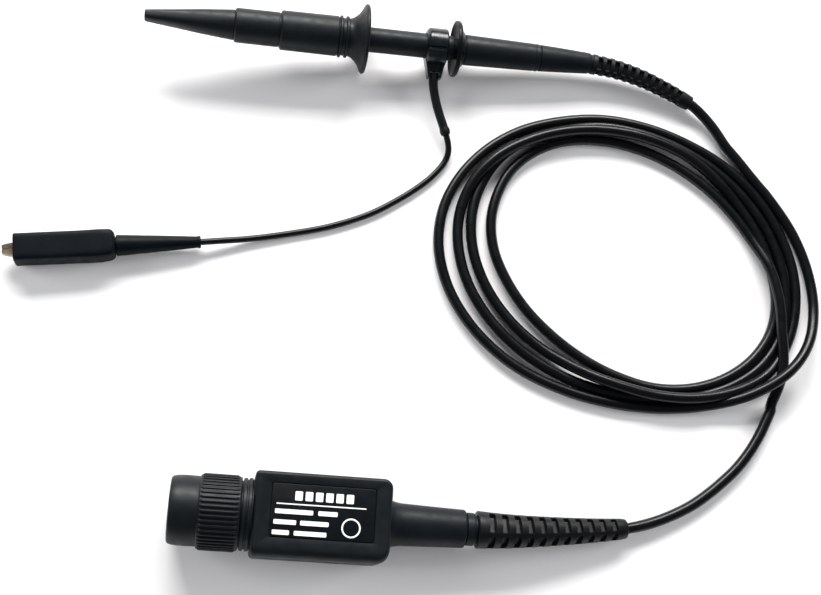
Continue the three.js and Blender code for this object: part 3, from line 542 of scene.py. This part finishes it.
LEAD_RADIUS = 0.9
LEAD_PATH = [
    (5.1, 44.3, 3.02), (5.62, 42.45, 2.6), (6.1, 40.2, 2.1), (6.1, 38.0, 1.6), (5.1, 35.4, 1.1),
    (1.5, 31.1, 0.95), (-3.3, 27.2, 0.95), (-8.2, 24.0, 0.95), (-16.8, 19.4, 0.95), (-28.2, 15.6, 0.95),
    (-39.4, 13.4, 1.0),
    (-50.5, 11.7, 1.5), (-58.5, 10.8, 2.4), (-63.2, 10.32, 2.88),
]
LEAD_PATH += [tuple((CLIP @ Vector((x, 0, 0))) / MM) for x in (52.2, 50.5)]
lead_path = smooth_path(LEAD_PATH, 0.8)
ground_lead = round_wire("ground_lead_wire", lead_path, LEAD_RADIUS, ROW, LOOKS["jacket_black"], 28)
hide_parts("ground_lead")
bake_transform(ground_lead)

# ---------------------------------------------------------------- hook sleeve


def oval_ring(x, half_y, half_z, power=2.0, shift=0.0, sides=72):
    """A ring of points across x: an oval that grows squarer as power rises above 2, shifted along y."""
    ring = []
    for angle in even_angles(sides):
        c, s = math.cos(angle), math.sin(angle)
        ring.append((x, shift + half_y * math.copysign(abs(c) ** (2 / power), c),
                     half_z * math.copysign(abs(s) ** (2 / power), s)))
    return ring


def between(rows, steps):
    """Rows of numbers with steps more rows laid evenly between each two."""
    result = []
    for first, second in zip(rows, rows[1:]):
        for step in range(steps):
            t = step / steps
            result.append(tuple(a + (b - a) * t for a, b in zip(first, second)))
    return [*result, rows[-1]]


def hook_nose():
    """Tapered nose with flattened cheeks, a slot for the hook and a spigot into the collar."""
    skin = between(
        [(0.35, 1.42, 1.74, 3.2), (8.0, 2.3, 2.55, 2.7), (16.0, 3.3, 3.4, 2.35), (24.2, 4.22, 4.22, 2.0)], 8)
    rows = [(0.0, 1.1, 1.42, 3.0), (0.06, 1.24, 1.56, 3.0), (0.18, 1.35, 1.68, 3.1), *skin,
            (24.6, 4.28, 4.28, 2.0), (24.74, 4.2, 4.2, 2.0), (24.78, 4.05, 4.05, 2.0), (24.78, 3.5, 3.5, 2.0),
            (30.6, 3.5, 3.5, 2.0)]
    rings = [oval_ring(*row) for row in rows]
    nose = build("hook_nose_shell", *rings_to_mesh(rings), PROBE, LOOKS["satin_black"])
    slot = block("slot", (-1.0, 32.0), (-0.55, 0.55), (-1.1, 1.1), PROBE, LOOKS["satin_black"])
    return cut(nose, slot)


fit(hook_nose(), "hook_sleeve", "satin_black", "hook_nose")

collar = turned_ring(
    "hook_collar_shell",
    [(24.8, 4.42), (25.2, 4.82, 0.3), (31.0, 4.86), (36.9, 4.88), (37.3, 4.76), (37.58, 4.76, 0.05),
     (37.58, 4.0), (40.4, 4.0)],
    [(40.4, 3.8), (24.8, 3.8)], PROBE, LOOKS["satin_black"],
)
fit(collar, "hook_sleeve", "satin_black", "hook_collar")

grip = turned_ring(
    "hook_grip_shell",
    [(37.6, 5.2), (38.0, 5.54, 0.3), (45.0, 5.58), (53.7, 5.65), (53.9, 5.5, 0.1), (53.9, 5.28, 0.03),
     (54.18, 5.28)],
    [(54.18, 4.3), (37.6, 4.3)], PROBE, LOOKS["satin_black"],
)
fit(grip, "hook_sleeve", "satin_black", "hook_grip")

flange = turned_ring(
    "hook_flange_shell",
    [(54.2, 5.35), (54.28, 5.9, 0.22), (54.92, 5.94, 0.22), (55.05, 5.3, 0.12), (55.95, 5.28, 0.12),
     (56.08, 5.86, 0.22), (56.74, 5.88, 0.22), (56.88, 5.28, 0.15), (57.6, 5.42, 0.6), (58.4, 5.85, 0.7),
     (59.3, 6.6, 0.9), (60.0, 7.4, 0.8), (60.6, 8.4, 0.8), (61.05, 9.4, 0.4), (61.35, 9.78, 0.3),
     (61.7, 9.84, 0.3), (62.1, 9.68, 0.3)],
    [(62.28, 9.25, 0.3), (62.05, 8.4, 0.6), (61.7, 7.0, 1.0), (60.9, 5.4, 0.8), (59.6, 4.2, 0.5),
     (54.2, 4.2)],
    PROBE, LOOKS["satin_black"],
)
fit(flange, "hook_sleeve", "satin_black", "hook_flange")

# ---------------------------------------------------------------- hook spring and wire


def helix(front, rear, mean_radius, turns, per_turn=28):
    count = turns * per_turn
    return [(front + (rear - front) * i / count, mean_radius * math.cos(2 * math.pi * i / per_turn),
             mean_radius * math.sin(2 * math.pi * i / per_turn)) for i in range(count + 1)]


def coil_wire(name, points, radius, place, look, sides=12):
    """A helical wire: rings that stand square to the path, with the cross direction taken from the axis."""
    pts = [Vector(p) for p in points]
    rings = []
    for i, at in enumerate(pts):
        along = (pts[min(i + 1, len(pts) - 1)] - pts[max(i - 1, 0)]).normalized()
        out = Vector((0, at.y, at.z)).normalized()
        side = along.cross(out).normalized()
        out = side.cross(along)
        rings.append([at + (out * math.cos(a) + side * math.sin(a)) * radius for a in even_angles(sides)])
    return build(name, *rings_to_mesh(rings), place, look)


spring = coil_wire("hook_return_spring", helix(31.55, 43.45, 2.6, 7), 0.25, PROBE, LOOKS["spring_steel"])
fit(spring, "probe", "spring_steel", "hook_spring")
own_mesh(spring)

HOOK_RADIUS = 0.34
HOOK_PATH = [(45.2, 0, 0), (40, 0, 0), (30, 0, -0.1), (12, 0, -0.45), (4, 0, -0.62), (2.0, 0, -0.62),
             (1.2, 0, -0.4), (0.95, 0, 0), (1.2, 0, 0.4), (2.0, 0, 0.62), (3.6, 0, 0.62)]
hook = round_wire("hook_contact_wire", smooth_path(HOOK_PATH, 0.25), HOOK_RADIUS, PROBE, LOOKS["nickel"], 16)
fit(hook, "probe", "nickel", "hook_wire")

# ---------------------------------------------------------------- probe body

barrel = turned(
    "probe_barrel_shell",
    [(57.5, 3.2), (57.8, 3.53), (79.8, 3.53, 0.05), (79.8, 3.15, 0.05), (85.6, 3.15, 0.05), (85.6, 3.53, 0.1),
     (86.3, 3.55), (87.2, 3.55), (87.2, 3.0), (90.4, 3.0)],
    PROBE, LOOKS["satin_black"],
)
fit(barrel, "probe", "satin_black", "probe_barrel")

# The guard's darker material is painted shade on its near face.
guard = turned_ring(
    "finger_guard_disc",
    [(89.0, 3.62, 0.2), (88.95, 5.2, 0.8), (88.7, 6.6, 0.6), (88.1, 7.3, 0.3), (87.6, 7.6, 0.15),
     (87.5, 7.82, 0.12), (87.75, 8.02, 0.18), (88.3, 8.06, 0.3), (88.75, 7.92, 0.25), (89.0, 7.5, 0.3),
     (89.3, 6.4, 0.8), (89.75, 5.3, 0.5), (90.4, 4.75, 0.2)],
    [(90.4, 3.1), (89.0, 3.1)], PROBE, GUARD_SHADED_BLACK,
)
fit(guard, "probe", "satin_black", "finger_guard")

housing = turned(
    "rear_housing_shell",
    [(90.42, 4.0), (90.7, 4.0, 0.05), (90.7, 4.25, 0.05), (90.95, 4.38, 0.15), (97.0, 4.25), (104.0, 4.1),
     (111.4, 3.94, 0.1), (111.55, 3.74, 0.06), (111.75, 3.74, 0.06), (111.9, 3.93, 0.1), (112.75, 3.9, 0.12),
     (112.9, 3.75, 0.05), (112.9, 3.45, 0.03), (113.18, 3.45)],
    PROBE, LOOKS["satin_black"],
)
fit(housing, "probe", "satin_black", "rear_housing")

boot = turned(
    "cable_boot_shell",
    [(113.2, 3.65), (113.35, 3.82, 0.12), (118.0, 3.62), (123.0, 3.34), (127.6, 3.06, 0.3),
     (128.5, 2.9, 0.1), (128.5, 2.6, 0.05), (129.4, 2.6)],
    PROBE, LOOKS["soft_black"],
)
fit(boot, "probe", "soft_black", "cable_boot")

# ---------------------------------------------------------------- ground collar

TAIL_DROP = -12.0  # degrees from level, towards the bench
COLLAR_PLACE = PROBE @ Matrix.Rotation(math.radians(-TAIL_DROP), 4, "X")
COLLAR_MIDDLE = 82.4
SADDLE_ANGLES = range(192, 253, 4)  # degrees round the ring
WING_ROOT, WING_LENGTH, WEB_LENGTH = 4.3, 5.0, 3.1  # from the barrel's axis outwards


def ground_collar():
    """A split ring with a raised saddle, and a funnel tail of two wings that holds the lead's stem."""
    look = GLOSSY_BLACK
    ring = turned_ring(
        "ring", [(79.42, 4.45), (80.2, 5.28, 0.2), (85.1, 5.3, 0.2), (85.4, 5.1)],
        [(85.4, 3.72), (79.42, 3.72)], COLLAR_PLACE, look,
    )
    slit = block("slit", (78.0, 87.0), (-1.35, -1.0), (3.0, 6.5), COLLAR_PLACE, look)
    ring = cut(ring, slit)
    saddle_rows = []
    for degrees in SADDLE_ANGLES:
        angle = math.radians(degrees)
        lift = 5.22 if degrees in (SADDLE_ANGLES[0], SADDLE_ANGLES[-1]) else 5.42
        saddle_rows.append([
            (x, r * math.cos(angle), -r * math.sin(angle))
            for x, r in ((79.75, 5.0), (79.95, lift), (84.95, lift), (85.2, 5.0))
        ])
    saddle = build("saddle", *rings_to_mesh(saddle_rows), COLLAR_PLACE, look)
    wings = []
    for side in (-1, 1):
        rows = []
        for step in range(9):
            t = step / 8
            distance = WING_ROOT + WING_LENGTH * t
            half = 3.0 - 1.05 * t ** 0.8
            thick = 2.05 - 0.35 * t
            wall = 0.75 - 0.1 * t
            outer_x = COLLAR_MIDDLE + side * half
            inner_x = outer_x - side * wall
            middle_x = inner_x + side * wall * 0.5
            section = [(inner_x, -thick), (middle_x, -thick - 0.12), (outer_x, -thick + 0.3),
                       (outer_x + side * 0.08, 0.0), (outer_x, thick - 0.3), (middle_x, thick + 0.12),
                       (inner_x, thick)]
            rows.append([(x, -distance, z) for x, z in section])
        wings.append(build("wing", *rings_to_mesh(rows), COLLAR_PLACE, look))
    web_rows = []
    for step in range(7):
        t = step / 6
        half = 2.6 - 1.0 * t
        web_rows.append([(COLLAR_MIDDLE + x, -(WING_ROOT + WEB_LENGTH * t), z)
                         for x, z in ((-half, -1.1), (half, -1.1), (half, 0.95), (-half, 0.95))])
    web = build("web", *rings_to_mesh(web_rows), COLLAR_PLACE, look)
    return softened(join("ground_collar_clip", [ring, saddle, *wings, web]), 0.1)


fit(ground_collar(), "ground_collar", "satin_black", "ground_collar")


def tail_point(distance):
    drop = math.radians(TAIL_DROP)
    local = Vector((COLLAR_MIDDLE, -distance * math.cos(drop), distance * math.sin(drop)))
    return (PROBE @ local) / MM


STEM_PATH = [tail_point(7.8), tail_point(10.8), (2.5, 52.6, 4.9), (3.4, 49.2, 4.1), (4.6, 45.6, 3.3),
             (5.5, 42.9, 2.7)]
stem_path = smooth_path(STEM_PATH, 0.4)
stem_length = path_length(stem_path)


STEM_RADIUS = 1.28
ROOT_SHARE, ROOT_GROWTH = 0.25, 0.12  # its thicker start
LIP_START, LIP_SHARE, LIP_GROWTH = 0.88, 0.12, 0.22  # the flare at its end


def stem_radius(distance, angle):
    """A moulded sleeve, a little thicker where it starts and flared at its end."""
    share = distance / stem_length
    end = max(0.0, (share - LIP_START) / LIP_SHARE)
    root = max(0.0, 1 - share / ROOT_SHARE)
    lip = LIP_GROWTH * math.sin(math.pi * min(end, 1.0)) - 0.25 * max(0.0, end - 0.8)
    return STEM_RADIUS + ROOT_GROWTH * root + lip


stem = build("ground_lead_sleeve", *rings_to_mesh(swept_rings(stem_path, stem_radius, even_angles(36))), ROW,
             LOOKS["rubber_black"])
fit(stem, "ground_collar", "rubber_black", "ground_lead_stem")

# ---------------------------------------------------------------- strain reliefs


RELIEF_ROWS, RELIEF_SLOTS = 4, 11
ROW_ANGLES = (-37.8, -36.4, -34, -26, -17, -8, 0, 8, 17, 26, 34, 36.4, 37.8, 40, 45, 50)
SLOT_HALF_ANGLE = 36.8
SLOT_FLOOR = 0.6  # a slot's flat floor, as a share of the boot's radius
SLOT_EDGE = 0.16  # length over which a slot's end falls away
END_DROP, END_REACH = 0.35, 0.4  # the rounding at both ends
CUFF_SHARE = 0.95  # the plain end's radius against the ribbed part's
END_MARKS = (0.05, 0.12, 0.2, 0.3, END_REACH)
EDGE_SHIFTS = (-0.09, -0.05, -0.02, 0.02, 0.05, 0.09)


def strain_relief(name, points, start_radius, end_radius, first, pitch, slot_width, turn_degrees, cuff, node):
    """A tapered round boot with four rows of deep slots and ribs between them."""
    path = smooth_path(points, 0.1)
    length = path_length(path)
    angles = [math.radians(turn_degrees + 360 / RELIEF_ROWS * row + offset)
              for row in range(RELIEF_ROWS) for offset in ROW_ANGLES]
    middles = [first + i * pitch for i in range(RELIEF_SLOTS)]

    def openness(distance):
        gap = min(abs(distance - middle) for middle in middles) - slot_width / 2
        share = min(1.0, max(0.0, 0.5 - gap / SLOT_EDGE))
        return share * share * (3 - 2 * share)

    def radius(distance, angle):
        full = start_radius + (end_radius - start_radius) * distance / length
        if distance > length - cuff:
            full *= CUFF_SHARE
        for from_end in (distance, length - distance):
            full -= END_DROP * max(0.0, 1 - from_end / END_REACH) ** 2
        offset = (math.degrees(angle) - turn_degrees + 45) % 90 - 45
        if abs(offset) >= SLOT_HALF_ANGLE:
            return full
        floor_radius = SLOT_FLOOR * full / math.cos(math.radians(offset))
        return full - (full - min(floor_radius, full)) * openness(distance)

    marks = [0.0, *END_MARKS, *[length - x for x in (*END_MARKS, cuff, cuff + 0.03)], length]
    for middle in middles:
        marks += [middle, middle + pitch / 2]
        marks += [middle + side * slot_width / 2 + shift for side in (-1, 1) for shift in EDGE_SHIFTS]
    frames = level_frames(path)
    rings = []
    for mark in sorted(m for m in marks if 0 <= m <= length):
        place = mark / length * (len(path) - 1)
        i = min(int(place), len(path) - 2)
        at, across, rise = (frames[i][k].lerp(frames[i + 1][k], place - i) for k in (0, 2, 3))
        across.normalize()
        rise.normalize()
        rings.append([at + (rise * math.cos(a) + across * math.sin(a)) * radius(mark, a) for a in angles])
    piece = build(name, *rings_to_mesh(rings), ROW, LOOKS["rubber_black"], sharp=40.0)
    fit(piece, "probe", "rubber_black", node)


strain_relief(
    "probe_relief_boot",
    [(49.0, 64.9, 5.3), (56.3, 63.6, 4.8), (64.3, 61.1, 4.2), (72.4, 57.4, 3.5), (79.0, 53.7, 3.0)],
    3.0, 2.25, 2.2, 2.56, 1.35, -14, 2.2, "probe_strain_relief",
)
strain_relief(
    "box_relief_boot",
    [(8.65, -69.56, 7.4), (17.8, -70.15, 6.85), (27.7, -70.35, 5.75), (38.7, -70.3, 4.35), (45.9, -70.1, 3.4),
     (50.3, -69.9, 2.85)],
    4.9, 2.75, 3.7, 3.42, 1.5, 25, 1.8, "box_strain_relief",
)

# ---------------------------------------------------------------- spring clip


def clip_cover():
    """Soft cover: a squared sleeve, open in front and along the side the jaw swings to."""
    look = CLIP_BLACK
    skin = between(
        [(3.5, 3.86, 3.6, 7.0, 0.0), (12.0, 3.88, 3.7, 7.0, 0.0), (19.5, 3.9, 3.7, 7.0, 0.0),
         (22.5, 3.98, 3.72, 6.5, 0.02), (25.5, 4.02, 3.7, 6.0, 0.1), (28.2, 3.9, 3.62, 5.0, 0.24)], 5)
    rows = [(3.1, 3.55, 3.25, 6.0, 0.0), (3.16, 3.7, 3.42, 6.5, 0.0), (3.3, 3.8, 3.54, 7.0, 0.0), *skin,
            (28.7, 3.76, 3.55, 4.6, 0.24), (29.1, 3.52, 3.44, 4.2, 0.2), (29.4, 3.22, 3.3, 3.6, 0.14),
            (29.55, 2.96, 3.1, 3.2, 0.08), (29.6, 2.7, 2.85, 2.8, 0.04)]
    cover = build("clip_cover_shell", *rings_to_mesh([oval_ring(*row, sides=96) for row in rows]), CLIP, look)
    hollow = build("hollow", *rings_to_mesh([oval_ring(x, 3.3, 2.9, 9.0) for x in (2.0, 25.2)]), CLIP, look)
    mouth = block("mouth", (2.0, 19.0), (0.0, 6.0), (-1.6, 1.6), CLIP, look)
    return cut(cover, hollow, mouth)


cover = fit(clip_cover(), "probe", "soft_black", "clip_cover")

clip_boot = turned(
    "clip_relief_boot",
    [(29.4, 2.3), (29.9, 2.3, 0.03), (29.9, 2.75, 0.05), (30.1, 2.9, 0.12), (36.0, 2.55), (42.0, 2.2),
     (48.0, 1.82), (51.6, 1.58), (51.9, 1.72, 0.1), (52.5, 1.66, 0.15), (52.6, 1.35)],
    CLIP, CLIP_BLACK, sides=64,
)
fit(clip_boot, "probe", "rubber_black", "clip_boot")

# ---------------------------------------------------------------- plug


RIBS, RIB_RISE, RIB_BORE = 48, 0.38, 8.9
RIB_FRONT, RIB_REAR = 7.42, 17.94
# A rib's section: shares of the way to the next rib, and the share of the height at each.
RIB_SHARES = (0.0, 0.1, 0.17, 0.22, 0.27, 0.36, 0.45, 0.54, 0.63, 0.68, 0.73, 0.8, 0.9)
RIB_RISES = (0.0, 0.0, 0.06, 0.4, 0.85, 1.0, 1.0, 1.0, 0.85, 0.4, 0.06, 0.0, 0.0)
RIB_ROOT = 9.38
RIB_ROWS = [  # x, radius between the ribs, share of their height
    (RIB_FRONT, 9.02, 0.0), (7.46, 9.22, 0.0), (7.6, 9.36, 0.0), (7.8, RIB_ROOT, 0.1), (8.0, RIB_ROOT, 0.55),
    (8.25, RIB_ROOT, 0.9), (8.6, RIB_ROOT, 1.0), (12.0, RIB_ROOT, 1.0), (16.4, RIB_ROOT, 1.0),
    (16.9, RIB_ROOT, 0.9), (17.15, RIB_ROOT, 0.5), (17.35, RIB_ROOT, 0.1), (17.6, RIB_ROOT, 0.0),
    (17.8, 9.3, 0.0), (17.92, 9.15, 0.0), (RIB_REAR, 9.01, 0.0),
]


def coupling_grip():
    """Smooth front sleeve and a rear ring of ribs, turned as one piece round the bayonet ring."""
    look = LOOKS["satin_black"]
    sleeve = turned_ring(
        "sleeve",
        [(0.0, 7.7), (0.05, 8.1, 0.2), (0.35, 8.5, 0.3), (1.4, 8.84, 0.6), (4.0, 8.95, 0.8), (7.3, 8.88),
         (7.4, 9.0, 0.1), (17.95, 9.0, 0.15)],
        [(17.95, 5.2), (12.3, 5.2), (12.3, 7.1), (0.0, 7.1)],
        BOX, look, sides=128,
    )
    rings = []
    for x, root, lift in RIB_ROWS:
        ring = []
        for i in range(RIBS):
            for share, rise in zip(RIB_SHARES, RIB_RISES):
                angle = 2 * math.pi * (i + share) / RIBS
                r = root + RIB_RISE * rise * lift
                ring.append((x, r * math.cos(angle), r * math.sin(angle)))
        rings.append(ring)
    inner = [[(x, RIB_BORE * y / math.hypot(y, z), RIB_BORE * z / math.hypot(y, z)) for _, y, z in ring]
             for x, ring in ((RIB_REAR, rings[-1]), (RIB_FRONT, rings[0]))]
    verts, faces = rings_to_mesh([*rings, *inner, rings[0]], caps=False)
    ribbed = build("ribs", verts, faces, BOX, look, sharp=40.0)
    return join("coupling_grip_shell", [sleeve, ribbed])


fit(coupling_grip(), "coupling", "satin_black", "coupling_grip")

neck_ring = turned_ring(
    "neck_ring_shell",
    [(17.97, 8.5), (18.3, 8.5, 0.05), (18.3, 9.0, 0.05), (18.5, 9.22, 0.15), (19.2, 9.3, 0.12),
     (19.3, 8.85, 0.06), (19.7, 8.85, 0.06), (19.8, 9.3, 0.12), (20.5, 9.3, 0.12), (20.7, 9.15, 0.05),
     (20.7, 8.9, 0.03), (20.98, 8.9)],
    [(20.98, 6.2), (17.97, 6.2)], BOX, LOOKS["satin_black"], sides=128,
)
fit(neck_ring, "probe", "satin_black", "neck_ring")

# ---------------------------------------------------------------- compensation case

CASE_FRONT, CASE_REAR, CASE_HALF, CASE_TOP = 21.0, 56.2, 10.7, 8.2
CASE_CORNERS = (3.2, 2.4, 1.2, 1.2)  # near rear, far rear, far front, near front
LABEL_FRONT, LABEL_REAR, LABEL_NEAR, LABEL_FAR = 25.5, 51.8, -5.6, 7.7
EDGE, NEAR_EDGE, LOW_NEAR_EDGE = 0.95, 2.4, 1.6  # radii of the case's long edges; the near ones are broader
CASE_WALL = 1.6
SEAM = 0.06  # half of the gap between the two halves
LABEL_RECESS, LABEL_MARGIN = 0.5, 0.24
LABEL_TOP = CASE_TOP - 0.04
PLUG_HOLE, CABLE_HOLE, TRIMMER_HOLE, PIN_HOLE = 6.1, 3.6, 1.8, 0.65  # radii
HOLE_SIDES = 48
TRIMMER_X = 43.0
PIN_Y, PIN_Z = 8.6, -6.2


def rounded_outline(xs, ys, corners, steps=8):
    """A level rectangle with its own radius at each corner: near rear, far rear, far front, near front."""
    (x0, x1), (y0, y1) = xs, ys
    near_rear, far_rear, far_front, near_front = corners
    centres = (
        (x1 - near_rear, y0 + near_rear, near_rear, -90), (x1 - far_rear, y1 - far_rear, far_rear, 0),
        (x0 + far_front, y1 - far_front, far_front, 90), (x0 + near_front, y0 + near_front, near_front, 180),
    )
    points = []
    for x, y, radius, start in centres:
        for step in range(steps + 1):
            angle = math.radians(start + 90 * step / steps)
            points.append((x + radius * math.cos(angle), y + radius * math.sin(angle)))
    return points


def edge_inset(depth, radius):
    """How far a rounded edge lies inside the side at a depth below its end."""
    if depth >= radius:
        return 0.0
    return radius - math.sqrt(max(0.0, radius ** 2 - (radius - depth) ** 2))


def case_solid(name, wall, low, high, edge_low, edge_high):
    """The case's form between two heights. Each edge is (radius on three sides, radius on the near side)."""
    depths = (0.0, 0.02, 0.06, 0.12, 0.2, 0.3, 0.45, 0.6, 0.8, 1.0, 1.25, 1.5, 1.8, 2.1, 2.5)
    levels = {high - depth for depth in depths} | {low + depth for depth in depths}
    rings = []
    for z in sorted(level for level in levels if low <= level <= high):
        others = wall + max(edge_inset(high - z, edge_high[0]), edge_inset(z - low, edge_low[0]))
        near = wall + max(edge_inset(high - z, edge_high[1]), edge_inset(z - low, edge_low[1]))
        corners = [max(c - others, 0.25) for c in CASE_CORNERS]
        outline = rounded_outline(
            (CASE_FRONT + others, CASE_REAR - others), (near - CASE_HALF, CASE_HALF - others), corners)
        rings.append([(x, y, z) for x, y in outline])
    return build(name, *rings_to_mesh(rings), BOX, LOOKS["satin_black"])


def rod(name, front, rear, radius, y=0.0, z=0.0, sides=HOLE_SIDES):
    verts, faces = lathe([(front, 0.0), (front, radius), (rear, radius), (rear, 0.0)], sides)
    return build(name, [(vx, vy + y, vz + z) for vx, vy, vz in verts], faces, BOX, LOOKS["satin_black"])


def upright(verts, x, y):
    """Turned points, stood up on z at a place on the level."""
    return [(vy + x, vz + y, vx) for vx, vy, vz in verts]


def post(name, x, y, low, high, radius):
    verts, faces = lathe([(low, 0.0), (low, radius), (high, radius), (high, 0.0)], HOLE_SIDES)
    return build(name, upright(verts, x, y), faces, BOX, LOOKS["satin_black"])


def label_block(name, margin, low, high, corner=0.5):
    xs = (LABEL_FRONT - margin, LABEL_REAR + margin)
    ys = (LABEL_NEAR - margin, LABEL_FAR + margin)
    outline = rounded_outline(xs, ys, (corner,) * 4, 5)
    return build(name, *rings_to_mesh([[(x, y, z) for x, y in outline] for z in (low, high)]), BOX,
                 LOOKS["label_black"])


def case_half(name, upper):
    sharp, slight, seam = (0.0, 0.0), (0.3, 0.3), (0.22, 0.22)
    if upper:
        half = case_solid(name, 0.0, SEAM, CASE_TOP, seam, (EDGE, NEAR_EDGE))
        hollow = case_solid("hollow", CASE_WALL, -1.0, CASE_TOP - CASE_WALL, sharp, slight)
        extra = [label_block("recess", LABEL_MARGIN, CASE_TOP - LABEL_RECESS, CASE_TOP + 1)]
    else:
        half = case_solid(name, 0.0, -CASE_TOP, -SEAM, (EDGE, LOW_NEAR_EDGE), seam)
        hollow = case_solid("hollow", CASE_WALL, CASE_WALL - CASE_TOP, 1.0, slight, sharp)
        extra = [
            post("trimmer_hole", TRIMMER_X, 0.0, -9.2, -5.6, TRIMMER_HOLE),
            block("pocket", (22.5, 27.0), (6.8, 9.8), (-7.4, -5.0), BOX, LOOKS["satin_black"]),
            rod("pin_hole", 20.0, 23.6, PIN_HOLE, PIN_Y, PIN_Z, 24),
        ]
    extra += [rod("plug_hole", 20.0, 23.6, PLUG_HOLE), rod("cable_hole", 53.6, 57.2, CABLE_HOLE)]
    return softened(cut(half, hollow, *extra), 0.08, angle=50.0)


fit(case_half("case_upper_shell", True), "probe", "satin_black", "case_upper")
fit(case_half("case_lower_shell", False), "probe", "satin_black", "case_lower")


def label_panel():
    """Inset panel, nearly flush with the case."""
    return softened(label_block("label_panel_plate", 0.0, CASE_TOP - 0.46, LABEL_TOP), 0.06, angle=50.0)


fit(label_panel(), "probe", "label_black", "label_panel")


MARK_DEPTH = 0.02  # how far a mark stands out of the panel, and goes into it
BAR_HEIGHT = 1.15


def label_marks():
    """Plain raised marks in place of printing: a rule, a row of bars above it and short bars below."""
    rule = (26.7, 49.5, 2.65, 0.3)
    title = [(31.3 + 2.6 * i, 33.2 + 2.6 * i, 4.8, 2.3) for i in range(6)]
    rows = [(26.5, 36.1, 0.75), (37.4, 42.3, 0.75), (26.3, 32.0, -1.9), (33.0, 40.2, -1.9),
            (26.1, 30.4, -4.5), (31.6, 39.8, -4.5)]
    bars = [rule, *title, *[(x0, x1, y, BAR_HEIGHT) for x0, x1, y in rows]]
    low, high = LABEL_TOP - MARK_DEPTH, LABEL_TOP + MARK_DEPTH
    marks = []
    for x0, x1, y, tall in bars:
        corner = min(0.25, 0.45 * tall)
        outline = rounded_outline((x0, x1), (y - tall / 2, y + tall / 2), (corner,) * 4, 4)
        rings = [[(px, py, level) for px, py in outline] for level in (low, high)]
        marks.append(build("bar", *rings_to_mesh(rings), BOX, INK))
    outer, inner = 2.45, 2.05
    verts, faces = lathe([(low, outer), (high, outer), (high, inner), (low, inner)], 64, ring=True)
    marks.append(build("circle", upright(verts, 45.9, -2.4), faces, BOX, INK))
    return join("label_marks", marks)


fit(label_marks(), "probe", "white_plastic")

neck = turned(
    "neck_boot_shell",
    [(54.0, 3.5), (56.24, 3.5, 0.05), (56.24, 6.3, 0.1), (56.5, 6.25, 0.2), (57.0, 6.02, 0.4),
     (57.7, 5.8, 0.6), (59.2, 5.52, 1.0), (66.0, 5.26), (72.0, 5.06), (76.1, 4.97, 0.2),
     (76.4, 4.75, 0.05), (76.4, 4.05, 0.03), (76.68, 4.05)],
    BOX, LOOKS["soft_black"],
)
fit(neck, "probe", "soft_black", "neck_boot")
neck_collar = turned(
    "neck_collar_shell",
    [(76.7, 4.0), (76.85, 4.3, 0.15), (78.75, 4.3, 0.15), (78.9, 4.05, 0.05), (78.9, 3.7, 0.03), (79.6, 3.7)],
    BOX, LOOKS["soft_black"],
)
fit(neck_collar, "probe", "soft_black", "neck_collar")

# ---------------------------------------------------------------- floor and light

FLOOR_SIZE = 3.0
floor_look = bpy.data.materials.new("paper")
floor_look.use_nodes = True
paper = floor_look.node_tree.nodes["Principled BSDF"]
paper.inputs["Base Color"].default_value = (0.86, 0.85, 0.855, 1.0)
paper.inputs["Roughness"].default_value = 0.9
paper.inputs["Specular IOR Level"].default_value = 0.1
floor_mesh = bpy.data.meshes.new("floor")
corners = [(sx * FLOOR_SIZE, sy * FLOOR_SIZE, 0.0) for sx, sy in ((-1, -1), (1, -1), (1, 1), (-1, 1))]
floor_mesh.from_pydata(corners, [], [(0, 1, 2, 3)])
floor_mesh.materials.append(floor_look)
floor = bpy.data.objects.new("floor", floor_mesh)
scene.collection.objects.link(floor)


def area_light(name, place, size, power, colour, glossy=True):
    data = bpy.data.lights.new(name, "AREA")
    data.shape = "RECTANGLE"
    data.size, data.size_y = size
    data.energy = power
    data.color = colour
    light = bpy.data.objects.new(name, data)
    light.location = place
    light.rotation_euler = (-Vector(place)).to_track_quat("-Z", "Y").to_euler()
    light.visible_glossy = glossy
    scene.collection.objects.link(light)


WARM, COOL = (1.0, 0.985, 0.97), (0.97, 0.985, 1.0)
area_light("key", (0.0, 0.85, 0.62), (1.0, 0.32), 24.0, WARM)
area_light("left", (-0.95, 0.15, 0.5), (0.5, 0.4), 5.0, COOL, glossy=False)
area_light("right", (0.95, 0.1, 0.5), (0.5, 0.4), 5.0, COOL, glossy=False)
area_light("near", (-0.1, -0.95, 0.55), (0.7, 0.4), 4.0, COOL, glossy=False)

world = bpy.data.worlds.new("studio")
world.use_nodes = True
background = world.node_tree.nodes["Background"]
background.inputs["Color"].default_value = (0.95, 0.97, 1.0, 1.0)
background.inputs["Strength"].default_value = 0.11
scene.world = world
scene.view_settings.view_transform = "Standard"
